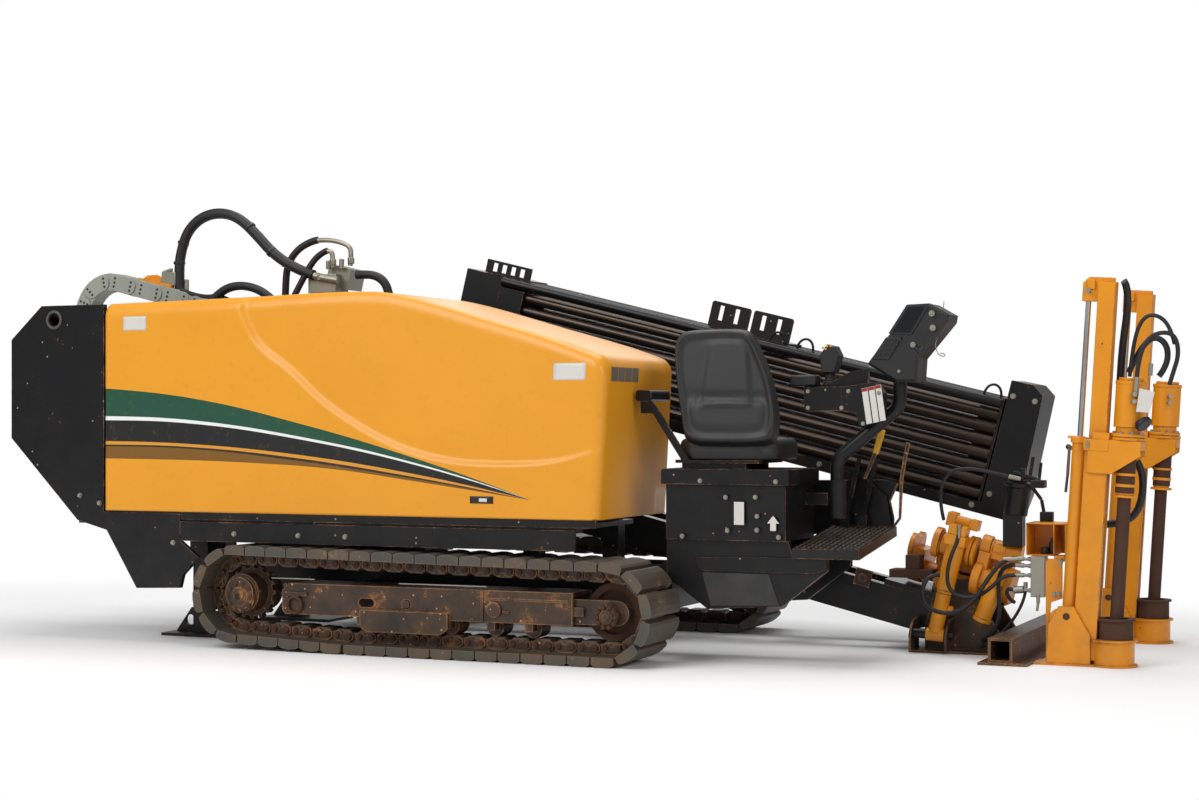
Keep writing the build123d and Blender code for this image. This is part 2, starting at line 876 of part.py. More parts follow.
# Rack: two rails, cross plates and the pivot tube
with BuildPart() as rack_beam:
    rail_mid = (rack_rail_top + rack_rail_bottom) / 2
    for side in (-1, 1):
        with BuildSketch(rack_side(side * (rack_half_width - rack_rail_width / 2))):
            with BuildLine():
                Polyline(
                    (rack_rear, rack_rail_bottom + 60),
                    (rack_rear, rack_rail_top),
                    (rack_front, rack_rail_top),
                    (rack_front, rack_rail_bottom + 70),
                    (rack_front - 160, rack_rail_bottom),
                    (rack_rear + 300, rack_rail_bottom),
                    close=True,
                )
            make_face()
        extrude(amount=rack_rail_width / 2, both=True)
    for index in range(8):
        x = rack_rear + 180 + index * 700
        with BuildSketch(rack_side(0)):
            with Locations((x, rail_mid)):
                Rectangle(120, 120)
        extrude(amount=rack_half_width - 20, both=True)
    with BuildSketch(rack_side(0)):
        with Locations((pivot_x, pivot_z)):
            Circle(29.7)
    extrude(amount=rack_half_width + stand_gap + stand_plate + 6, both=True)
save(rack_beam.part, "rack_beam")

# Rods: columns of drill pipe, thick at both joints, resting on each other. The near
# column shows, so it is rounder than those behind it.
rod_pitch = joint_d + stack_gap
rod_box_inner_y = rod_box_near_y + 16.0
joint_length = 110.0
rod_rear = rod_front - rod_length
with BuildPart() as drill_rods:
    for column in range(rod_columns):
        sides = 20 if column == 0 else 8
        for row in range(rod_rows):
            y = rod_box_inner_y + 2 + (column + 0.5) * (rod_pitch + 2)
            z = rod_floor + stack_gap + joint_d / 2 + row * rod_pitch
            for start, length, diameter in (
                (rod_rear, rod_length, rod_d),
                (rod_rear, joint_length, joint_d),
                (rod_front - joint_length, joint_length, joint_d),
            ):
                with BuildSketch(rack_cross(start)):
                    with Locations((y, z)):
                        RegularPolygon(diameter / 2, sides, major_radius=False, rotation=180 / sides)
                extrude(amount=length)
save(drill_rods.part, "drill_rods")

rod_stack_width = rod_columns * (rod_pitch + 2) + 4
rod_top = rod_floor + rod_rows * rod_pitch + stack_gap
box_far_y = rod_box_inner_y + rod_stack_width
box_mid_y = (rod_box_inner_y + box_far_y) / 2
box_width = rod_stack_width + 32.0
box_wall = 8.0
box_rear = rod_rear - 245
rear_box_height = 240.0
# Front channel's side: distance ahead of the rods' ends, height over the drill line
channel_side = (
    (28.0, rod_floor - 40),
    (31.0, 1080.0),
    (150.0, 1084.0),
    (213.0, 1040.0),
    (229.0, 480.0),
    (213.0, rod_floor - 40),
)
channel_web = (
    (31.0, 1072.0),
    (31.0, 1080.0),
    (150.0, 1084.0),
    (213.0, 1040.0),
    (229.0, 480.0),
    (213.0, rod_floor - 40),
    (203.0, rod_floor - 40),
    (219.0, 480.0),
    (203.0, 1034.0),
    (147.0, 1075.0),
)
box_bracket_spots = (
    max(rod_front - 0.986 * rod_length, pivot_x + 300.0),
    rod_front - 0.707 * rod_length,
    rod_front - 0.232 * rod_length,
)
with BuildPart() as rod_box:
    # floor channel, open below
    with BuildSketch(rack_cross(box_rear)):
        with Locations((box_mid_y, rod_floor - 30)):
            Rectangle(box_width, 60)
        with Locations((box_mid_y, rod_floor - 30 - box_wall)):
            Rectangle(box_width - 2 * box_wall, 60, mode=Mode.SUBTRACT)
    extrude(amount=rod_front + 213 - box_rear)
    # end plates
    for start in (rod_front + 6, rod_rear - 20):
        with BuildSketch(rack_cross(start)):
            with Locations((box_mid_y, (rod_floor + rod_top + 60) / 2)):
                Rectangle(box_width, rod_top - rod_floor + 64)
        extrude(amount=14)
    # straps beside the joints
    for start, y in (
        (rod_front - 150, box_far_y + 8),
        (rod_rear - 10, box_far_y + 8),
        (rod_rear - 10, rod_box_near_y + 8),
    ):
        with BuildSketch(rack_cross(start)):
            with Locations((y, (rod_floor + rod_top) / 2 - 10)):
                Rectangle(12, rod_top - rod_floor + 20)
        extrude(amount=160)
    # rear box, open at the rear
    with BuildSketch(rack_cross(box_rear)):
        with Locations((box_mid_y, rod_top - 60)):
            Rectangle(box_width, rear_box_height)
            Rectangle(box_width - 2 * box_wall, rear_box_height - 2 * box_wall, mode=Mode.SUBTRACT)
    extrude(amount=230)
    # front channel
    for y, inward in ((rod_box_near_y, -1), (box_far_y + 16, 1)):
        with BuildSketch(rack_side(y)):
            with BuildLine():
                Polyline(*[(rod_front + ahead, z) for ahead, z in channel_side], close=True)
            make_face()
        extrude(amount=12 * inward)
    with BuildSketch(rack_side(box_mid_y)):
        with BuildLine():
            Polyline(*[(rod_front + ahead, z) for ahead, z in channel_web], close=True)
        make_face()
    extrude(amount=box_width / 2, both=True)
    # brackets that carry the box beside the rack
    for x in box_bracket_spots:
        with BuildSketch(rack_side(rack_half_width + running_gap)):
            with BuildLine():
                Polyline(
                    (x - 90, rack_rail_bottom + 20),
                    (x - 60, rod_floor - 20),
                    (x + 60, rod_floor - 20),
                    (x + 90, rack_rail_bottom + 20),
                    close=True,
                )
            make_face()
        extrude(amount=-20)
        with BuildSketch(rack_side(rack_half_width + 10)):
            with Locations((x, rod_floor - 80)):
                Rectangle(100, 50)
        extrude(amount=-260)
save(rod_box.part, "rod_box")

tube_r = 30.0
tube_z = rod_top + 2 + tube_r
with BuildPart() as top_tubes:
    for y in (rod_box_near_y + 20, box_far_y - 6):
        with BuildSketch(rack_cross(rod_rear - 6 + running_gap)):
            with Locations((y, tube_z)):
                Circle(tube_r)
        extrude(amount=rod_length + 12 - 2 * running_gap)
save(top_tubes.part, "top_tubes")

# Slotted brackets and a grate on the top tubes
bracket_foot = tube_z + tube_r + running_gap
bracket_mid = rod_front - 0.4875 * rod_length
bracket_length = 240.0
grate_x = rod_rear + 13.0
with BuildPart() as top_brackets:
    for x in (bracket_mid - 128.5, bracket_mid + 128.5):
        with BuildSketch(rack_side(rod_box_near_y + 23)):
            with Locations((x, bracket_foot + 75)):
                RectangleRounded(bracket_length, 150, 16)
                with Locations((-55, 14), (40, 14)):
                    Rectangle(26, 84, mode=Mode.SUBTRACT)
        extrude(amount=8)
        with BuildSketch(rack_side(rod_box_near_y + 15)):
            with Locations((x, bracket_foot + 4)):
                Rectangle(bracket_length - 40, 8)
        extrude(amount=-(box_far_y - rod_box_near_y - 15))
    with BuildSketch(rack_side(rod_box_near_y + 30)):
        with Locations((grate_x, bracket_foot + 40)):
            Rectangle(300, 80)
            with GridLocations(60, 1, 4, 1):
                Rectangle(30, 50, mode=Mode.SUBTRACT)
    extrude(amount=8)
    with BuildSketch(rack_side(rod_box_near_y + 23)):
        with Locations((grate_x, bracket_foot + 4)):
            Rectangle(300, 8)
    extrude(amount=-250)
save(top_brackets.part, "top_brackets")

# Energy chain's line, in the rack's frame
chain_y = -rack_half_width - 66.0
chain_half = 55.0
chain_bend_x = -5562.0
chain_bend_z = 197.0
chain_outer_r = 255.0
chain_depth = 105.0
chain_top_end = -4816.0

# Carriage with gearbox, motors and hose tower; it slides down the rack
carriage_mid = -4200.0
with BuildPart(RACK) as carriage:
    with Locations((carriage_mid, 0, rack_rail_top + running_gap + 25)):
        Box(620, 2 * rack_half_width - 20, 50)
    with Locations((carriage_mid + 40, 0, 40)):
        Box(420, 300, 240)
    with Locations((carriage_mid - 250, 0, 90)):
        Box(160, 220, 140)
    with Locations((carriage_mid, 0, 425.35)):
        Box(90, 90, 530.7)
    with Locations((carriage_mid - 60, -60, 450)):
        Box(60, 80, 60)
save(carriage.part, "carriage")

with BuildPart() as hose_manifold:
    with BuildSketch(rack_cross(carriage_mid - 40)):
        with Locations((0, 754)):
            Rectangle(180, 126)
    extrude(amount=150)
save(hose_manifold.part, "hose_manifold")

# Hoses that loop from the chain's top over to the manifold: y at the foot and at the
# manifold, how far the loop stands back from the first one, and the hose's radius
loop_hoses = (
    (-270.0, -64.0, 0.0, 17.0),
    (-232.0, -22.0, 22.0, 17.0),
    (-196.0, 22.0, 44.0, 15.0),
    (-160.0, 64.0, 66.0, 15.0),
)
loop_foot_x = carriage_mid - 975.0
with BuildPart() as carriage_hoses:
    for foot_y, manifold_y, stand_back, radius in loop_hoses:
        foot_z = chain_bend_z + chain_outer_r + running_gap
        manifold_face = (carriage_mid - 40 - running_gap, manifold_y, 754)
        with BuildLine() as loop_line:
            FilletPolyline(
                RACK.from_local_coords((loop_foot_x + stand_back, foot_y, foot_z)),
                RACK.from_local_coords((loop_foot_x + stand_back, foot_y, 925 - stand_back)),
                RACK.from_local_coords((loop_foot_x + 470, (foot_y + manifold_y) / 2, 930 - stand_back)),
                RACK.from_local_coords((loop_foot_x + 700, manifold_y, 754)),
                RACK.from_local_coords(manifold_face),
                radius=150,
            )
        with BuildSketch(Plane(origin=loop_line.line @ 0, z_dir=loop_line.line % 0)):
            RegularPolygon(radius, 8, major_radius=False)
        sweep()
save(carriage_hoses.part, "carriage_hoses")

spindle_rear = carriage_mid + 250 + running_gap
with BuildPart() as spindle:
    with BuildSketch(rack_cross(spindle_rear)):
        Circle(55)
    extrude(amount=60)
    with BuildSketch(rack_cross(spindle_rear + 60)):
        Circle(joint_d / 2)
    extrude(amount=200)
save(spindle.part, "spindle")

# Energy chain at the rack's rear, lying on its tray and turning back over it
with BuildPart() as chain_tray:
    with BuildSketch(rack_side(chain_y)):
        with Locations(((chain_bend_x - 60 - 4700) / 2, chain_bend_z - chain_outer_r - running_gap - 6)):
            Rectangle(-4700 - chain_bend_x + 60, 12)
    extrude(amount=chain_half + 5, both=True)
    with BuildSketch(rack_side(-rack_half_width)):
        with Locations((-4800, -100), (rack_rear + 160, -100)):
            Rectangle(80, 72)
    extrude(amount=60)
save(chain_tray.part, "chain_tray")

with BuildPart() as hose_chain:
    with BuildSketch(rack_side(chain_y)):
        with BuildLine():
            Line((chain_top_end, chain_bend_z + chain_outer_r), (chain_bend_x, chain_bend_z + chain_outer_r))
            ThreePointArc(
                (chain_bend_x, chain_bend_z + chain_outer_r),
                (chain_bend_x - chain_outer_r, chain_bend_z),
                (chain_bend_x, chain_bend_z - chain_outer_r),
            )
            Polyline(
                (chain_bend_x, chain_bend_z - chain_outer_r),
                (-4760, chain_bend_z - chain_outer_r),
                (-4760, chain_bend_z - chain_outer_r + chain_depth),
                (chain_bend_x, chain_bend_z - chain_outer_r + chain_depth),
            )
            ThreePointArc(
                (chain_bend_x, chain_bend_z - chain_outer_r + chain_depth),
                (chain_bend_x - chain_outer_r + chain_depth, chain_bend_z),
                (chain_bend_x, chain_bend_z + chain_outer_r - chain_depth),
            )
            Polyline(
                (chain_bend_x, chain_bend_z + chain_outer_r - chain_depth),
                (chain_top_end, chain_bend_z + chain_outer_r - chain_depth),
                (chain_top_end, chain_bend_z + chain_outer_r),
            )
        make_face()
    extrude(amount=chain_half, both=True)
save(hose_chain.part, "hose_chain")

# Arm of the carriage that holds the chain's upper end
with BuildPart() as chain_arm:
    with BuildSketch(rack_side(-100 - running_gap)):
        with Locations((carriage_mid - 90, 450)):
            Rectangle(60, 60)
    extrude(amount=rack_half_width + 66 - 100 + 20)
    with BuildSketch(rack_side(chain_y)):
        with BuildLine():
            Polyline((chain_top_end + running_gap, 350), (chain_top_end + running_gap, 450), (-4500, 500), (carriage_mid - 90, 480), (carriage_mid - 90, 420), (-4500, 400), close=True)
        make_face()
    extrude(amount=20, both=True)
save(chain_arm.part, "chain_arm")

# Front skid: sole plates and the cross tube between the anchors
cross_tube_x = 2590.0
skid_near_y = -330.0
skid_far_y = 1170.0
with BuildPart() as front_skid:
    with Locations((2290, 440, 6)):
        Box(540, 700, 12)
    with Locations((2602.35, (skid_near_y + skid_far_y) / 2, 6)):
        Box(244.7, skid_far_y - skid_near_y, 12)
    with Locations((cross_tube_x, (skid_near_y + skid_far_y) / 2, 12 + 60)):
        Box(120, skid_far_y - skid_near_y - 30, 120)
        Box(96, skid_far_y - skid_near_y - 20, 96, mode=Mode.SUBTRACT)
    for y in (rack_y - rack_half_width - 10 - running_gap, rack_y + rack_half_width + 10 + running_gap):
        with BuildSketch(side_plane(y)):
            with BuildLine():
                Polyline((2080, 12), (2080, 130), (2150, 380), (2300, 380), (2530, 12), close=True)
            make_face()
        extrude(amount=10, both=True)
    with Locations((2215, rack_y, 45)):
        Box(60, 2 * rack_half_width + 40, 66)
save(front_skid.part, "front_skid")

# Rear stabilizers: a leg in a guide on each side of the chassis
stabilizer_x = -1850.0
stabilizer_half_gap = 508.0
leg_size = 90.0
guide_wall = 12.0
guide_gap = 0.3
leg_top = 600.0
guide_bottom = 420.0
guide_top = 580.0
foot_width = 290.0
guide_size = leg_size + 2 * guide_gap + 2 * guide_wall
stabilizer_sides = (("near", -1), ("far", 1))
with BuildPart() as stabilizer_guides:
    for side_name, side in stabilizer_sides:
        leg_y = track_mid_y + side * stabilizer_half_gap
        with BuildSketch(Plane.XY.offset(guide_bottom)):
            with Locations((stabilizer_x, leg_y)):
                Rectangle(guide_size, guide_size)
                Rectangle(leg_size + 2 * guide_gap, leg_size + 2 * guide_gap, mode=Mode.SUBTRACT)
        extrude(amount=guide_top - guide_bottom)
        rail_face = track_mid_y + side * (rail_half_gap + rail_width / 2 + running_gap)
        with Locations((stabilizer_x, (rail_face + leg_y - side * guide_size / 2) / 2, (300 + guide_top) / 2 - 10)):
            Box(80, abs(leg_y - side * guide_size / 2 - rail_face), guide_top - 320)
save(stabilizer_guides.part, "stabilizer_guides")

for side_name, side in stabilizer_sides:
    leg_y = track_mid_y + side * stabilizer_half_gap
    with BuildPart() as stabilizer_leg:
        with Locations((stabilizer_x, leg_y, (leg_top + 16) / 2)):
            Box(leg_size, leg_size, leg_top - 16)
        with Locations((stabilizer_x + 50, leg_y, 8)):
            Box(480, foot_width, 16)
        with BuildSketch(side_plane(leg_y)):
            with BuildLine():
                Polyline(
                    (stabilizer_x - 180, 16),
                    (stabilizer_x - 80, 150),
                    (stabilizer_x, 150),
                    (stabilizer_x, 16),
                    close=True,
                )
            make_face()
            with Locations((stabilizer_x - 90, 80)):
                Circle(30, mode=Mode.SUBTRACT)
        extrude(amount=10, both=True)
    save(stabilizer_leg.part, "stabilizer_leg_" + side_name)

# Vises at the rack's front: the front one fixed, the rear one turning on its sleeve
vise_bore = 52.0
wrench_ring_r = 72.0
rod_bore = 40.0
fixed_vise_x = -200.0
wrench_vise_x = -360.0
vise_thick = 80.0
vise_seat = rack_rail_top + 30 + 2 * running_gap
for vise_x, vise_name in ((fixed_vise_x, "fixed_vise"), (wrench_vise_x, "wrench_vise")):
    turning = vise_name == "wrench_vise"
    foot = 0.0 if turning else vise_seat
    cylinder_z = 45.0 if turning else 0.0
    with BuildPart() as vise:
        with BuildSketch(rack_cross(vise_x - vise_thick / 2)):
            with Locations((0, (foot + 115) / 2)):
                Rectangle(230, 115 - foot)
            if turning:
                Circle(wrench_ring_r)
        extrude(amount=vise_thick)
        for side in (-1, 1):
            with BuildSketch(rack_side(side * 115)):
                with Locations((vise_x, cylinder_z)):
                    Circle(38)
            extrude(amount=-side * 60)
        for side in (-1, 1):
            with BuildSketch(rack_cross(vise_x - vise_thick / 2 - 12)):
                with Locations((side * 70, 120)):
                    Circle(66)
            extrude(amount=24)
        if vise_name == "fixed_vise":
            with BuildSketch(rack_cross(wrench_vise_x - vise_thick / 2 - 10)):
                Circle(vise_bore - running_gap)
            extrude(amount=fixed_vise_x - wrench_vise_x + 10)
            with BuildSketch(rack_cross(wrench_vise_x - vise_thick)):
                Circle(rod_bore)
            extrude(amount=fixed_vise_x - wrench_vise_x + 2 * vise_thick, mode=Mode.SUBTRACT)
        else:
            with BuildSketch(rack_cross(vise_x - vise_thick)):
                Circle(vise_bore)
            extrude(amount=2 * vise_thick, mode=Mode.SUBTRACT)
    save(vise.part, vise_name)

with BuildPart() as vise_base:
    with BuildSketch(rack_cross(-480)):
        with Locations((0, rack_rail_top + 15 + running_gap)):
            Rectangle(2 * rack_half_width, 30)
    extrude(amount=340)
save(vise_base.part, "vise_base")

# Anchors, near and far: base, column, cylinder, sliding tube with its drive, and auger
anchor_sides = (("near", anchor_near_y), ("far", anchor_far_y))
shaft = anchor_shaft_offset
shaft_foot_x = mast_plane(0, shaft).origin.X


def mast_side(y):
    """Side view along a mast: local x forward of the column's axis, local y up it."""
    return Plane(origin=mast_plane(y).origin, x_dir=mast_plane(y).x_dir, z_dir=(0, -1, 0))


with BuildPart() as anchor_bases:
    for side_name, anchor_y in anchor_sides:
        for height, radius, bore, thick in ((0, flange_r, 70, 10), (10, 100, 78, 112), (122, flange_r, 70, 10)):
            with BuildSketch(Plane.XY.offset(height)):
                with Locations((shaft_foot_x, anchor_y)):
                    Circle(radius)
                    Circle(bore, mode=Mode.SUBTRACT)
            extrude(amount=thick)
        with BuildSketch(Plane.XY):
            with Locations(((2725 + shaft_foot_x - 80) / 2, anchor_y)):
                Rectangle(shaft_foot_x - 80 - 2725, 170)
        extrude(amount=10)
        for edge in (-1, 1):
            with BuildSketch(side_plane(anchor_y + edge * (column_size / 2 + 10))):
                with BuildLine():
                    Polyline((2790, 10), (2800, 200), (2850, 290), (2925, 290), (3005, 150), (3005, 10), close=True)
                make_face()
            extrude(amount=9.5, both=True)
        with BuildSketch(mast_plane(anchor_y, 0, 30)):
            Rectangle(column_size, column_size)
            Rectangle(inner_tube + 2, inner_tube + 2, mode=Mode.SUBTRACT)
            with Locations((column_size / 2, 0)):
                Rectangle(60, 60, mode=Mode.SUBTRACT)
        extrude(amount=column_top - 30)
        with BuildSketch(mast_side(anchor_y)):
            with Locations((anchor_barrel_offset, 235.7)):
                Circle(14)
        extrude(amount=column_size / 2 + 10, both=True)
save(anchor_bases.part, "anchor_bases")

with BuildPart() as guide_collars:
    for side_name, anchor_y in anchor_sides:
        for height, radius, thick in ((132 + running_gap, 84, 92), (224 + running_gap, 97, 10)):
            with BuildSketch(Plane.XY.offset(height)):
                with Locations((shaft_foot_x + 10, anchor_y)):
                    Circle(radius)
                    Circle(62, mode=Mode.SUBTRACT)
            extrude(amount=thick)
        with Locations((3037.5 - 60, anchor_y, 185)):
            Box(120, 220, 120, mode=Mode.SUBTRACT)
save(guide_collars.part, "guide_collars")

with BuildPart() as lift_barrels:
    for side_name, anchor_y in anchor_sides:
        for height, radius, thick in ((250, 36, 850), (1100, 44, 16)):
            with BuildSketch(mast_plane(anchor_y, anchor_barrel_offset, height)):
                Circle(radius)
                Circle(18, mode=Mode.SUBTRACT)
            extrude(amount=thick)
save(lift_barrels.part, "lift_barrels")

for side_name, anchor_y in anchor_sides:
    with BuildPart() as lift_rod:
        with BuildSketch(mast_plane(anchor_y, anchor_barrel_offset, 1000)):
            Circle(14)
        extrude(amount=789.7)
    save(lift_rod.part, "lift_rod_" + side_name)
    with BuildPart() as anchor_slide:
        with BuildSketch(mast_plane(anchor_y, 0, slide_bottom)):
            Rectangle(inner_tube, inner_tube)
        extrude(amount=slide_top - slide_bottom)
        for edge in (-1, 1):
            with BuildSketch(
                Plane(
                    origin=mast_plane(anchor_y).origin + Vector(0, edge * (column_size / 2 + 12), 0),
                    x_dir=mast_plane(anchor_y).x_dir,
                    z_dir=(0, -1, 0),
                )
            ):
                with BuildLine():
                    Polyline((-40, 950), (-40, 1118), (215, 1118), (215, 1045), (80, 950), close=True)
                make_face()
            extrude(amount=6, both=True)
        with BuildSketch(mast_plane(anchor_y, 0, column_top + 10)):
            with Locations(((62 + 215) / 2, 0)):
                Rectangle(215 - 62, column_size + 36)
            with Locations((50, 0)):
                Rectangle(40, 48)
            with Locations((shaft, 0)):
                Circle(40, mode=Mode.SUBTRACT)
        extrude(amount=48)
        with BuildSketch(mast_plane(anchor_y, 0, 960)):
            with Locations((56, 0)):
                Rectangle(40, 48)
        extrude(amount=150)
        with BuildSketch(
            Plane(
                origin=mast_plane(anchor_y).origin,
                x_dir=mast_plane(anchor_y).x_dir,
                z_dir=(0, -1, 0),
            )
        ):
            with BuildLine():
                Polyline((-120, 1790), (-120, 1880), (-90, 1910), (30, 1910), (30, 1790), close=True)
            make_face()
        extrude(amount=22, both=True)
    save(anchor_slide.part, "anchor_slide_" + side_name)
    with BuildPart() as anchor_motor:
        with BuildSketch(mast_plane(anchor_y, shaft, 1118 + running_gap)):
            Circle(86)
        extrude(amount=14)
        with BuildSketch(mast_plane(anchor_y, shaft, 1132)):
            Circle(62)
        extrude(amount=50)
        with BuildSketch(mast_plane(anchor_y, shaft, 1182)):
            Circle(73)
        extrude(amount=225)
    save(anchor_motor.part, "anchor_motor_" + side_name)
    with BuildPart() as auger:
        with BuildSketch(mast_plane(anchor_y, shaft, 860)):
            Circle(46)
        extrude(amount=200)
        with BuildSketch(mast_plane(anchor_y, shaft, 60)):
            Circle(33)
        extrude(amount=800)
        with BuildSketch(mast_plane(anchor_y, shaft, 1060)):
            Circle(36)
        extrude(amount=58)
    save(auger.part, "auger_" + side_name)
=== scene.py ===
"""Looks of the horizontal directional drill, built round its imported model."""

import json
import logging
import math
from collections.abc import Sequence
from dataclasses import dataclass, field
from enum import Enum

import bmesh
import bpy
from mathutils import Matrix, Vector


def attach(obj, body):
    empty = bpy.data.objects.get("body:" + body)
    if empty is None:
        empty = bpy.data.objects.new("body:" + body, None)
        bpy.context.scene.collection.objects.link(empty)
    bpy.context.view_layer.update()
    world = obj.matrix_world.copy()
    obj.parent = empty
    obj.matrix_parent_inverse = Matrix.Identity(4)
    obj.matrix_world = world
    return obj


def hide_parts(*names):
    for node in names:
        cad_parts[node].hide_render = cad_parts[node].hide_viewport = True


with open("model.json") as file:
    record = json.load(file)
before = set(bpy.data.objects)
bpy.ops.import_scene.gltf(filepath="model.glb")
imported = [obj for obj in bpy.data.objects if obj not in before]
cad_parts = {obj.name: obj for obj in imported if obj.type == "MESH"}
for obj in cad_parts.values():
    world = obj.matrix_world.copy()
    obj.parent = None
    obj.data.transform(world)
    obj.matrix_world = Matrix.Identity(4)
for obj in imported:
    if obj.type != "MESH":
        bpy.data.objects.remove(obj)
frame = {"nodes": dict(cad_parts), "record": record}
log = logging.getLogger("drill")

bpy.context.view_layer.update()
MM = 0.001

RACK_PLACE = (2.345, 0.4, 0.33)
RACK_TILT = math.radians(13.8)
MAST_X = 2.967
MAST_Y = {"near": -0.112, "far": 1.077}
MAST_LEAN = math.radians(3.5)

# Frames in millimetres: the ground's, the tilted rack's and the two leaning masts'
GROUND = Matrix.Scale(MM, 4)
RACK = Matrix.Translation(RACK_PLACE) @ Matrix.Rotation(RACK_TILT, 4, "Y") @ GROUND
MASTS = {
    side: Matrix.Translation((MAST_X, y, 0)) @ Matrix.Rotation(MAST_LEAN, 4, "Y") @ GROUND
    for side, y in MAST_Y.items()
}


def to_linear(code: str) -> tuple[float, float, float, float]:
    """Turns an sRGB hex colour into linear RGBA.

    Args:
        code: Six hex digits with a leading hash.

    Returns:
        The colour as Blender's sockets take it.
    """
    values = [int(code[i : i + 2], 16) / 255 for i in (1, 3, 5)]
    linear = [v / 12.92 if v <= 0.04045 else ((v + 0.055) / 1.055) ** 2.4 for v in values]
    return (*linear, 1.0)


def add_node(
    tree: bpy.types.NodeTree,
    kind: str,
    settings: dict | None = None,
    inputs: dict | None = None,
) -> bpy.types.Node:
    """Adds one node with its settings, values and links.

    Args:
        tree: The material's or world's node tree.
        kind: The node's type.
        settings: Attributes by name; "stops" fills a colour ramp and "curve" a float curve.
        inputs: Values or other nodes' outputs, by input name or number.

    Returns:
        The new node.
    """
    made = tree.nodes.new(kind)
    for name, value in (settings or {}).items():
        if name == "stops":
            ramp = made.color_ramp
            for index, (place, colour) in enumerate(value):
                element = ramp.elements[index] if index < 2 else ramp.elements.new(place)
                element.position = place
                element.color = colour
        elif name == "curve":
            points = made.mapping.curves[0].points
            for index, (x, y) in enumerate(value):
                if index < 2:
                    points[index].location = (x, y)
                else:
                    points.new(x, y)
            made.mapping.update()
        else:
            setattr(made, name, value)
    for name, value in (inputs or {}).items():
        if isinstance(value, bpy.types.NodeSocket):
            tree.links.new(value, made.inputs[name])
        else:
            made.inputs[name].default_value = value
    return made


def new_tree(name: str) -> tuple[bpy.types.Material, bpy.types.NodeTree]:
    """Makes an empty node material.

    Args:
        name: The material's name.

    Returns:
        The material and its tree.
    """
    material = bpy.data.materials.new(name)
    material.use_nodes = True
    material.node_tree.nodes.clear()
    return material, material.node_tree


def close_tree(tree: bpy.types.NodeTree, surface: dict) -> None:
    """Ends a tree in a Principled shader and the material's output.

    Args:
        tree: The material's tree.
        surface: The shader's inputs.
    """
    shader = add_node(tree, "ShaderNodeBsdfPrincipled", None, surface)
    add_node(tree, "ShaderNodeOutputMaterial", None, {"Surface": shader.outputs[0]})


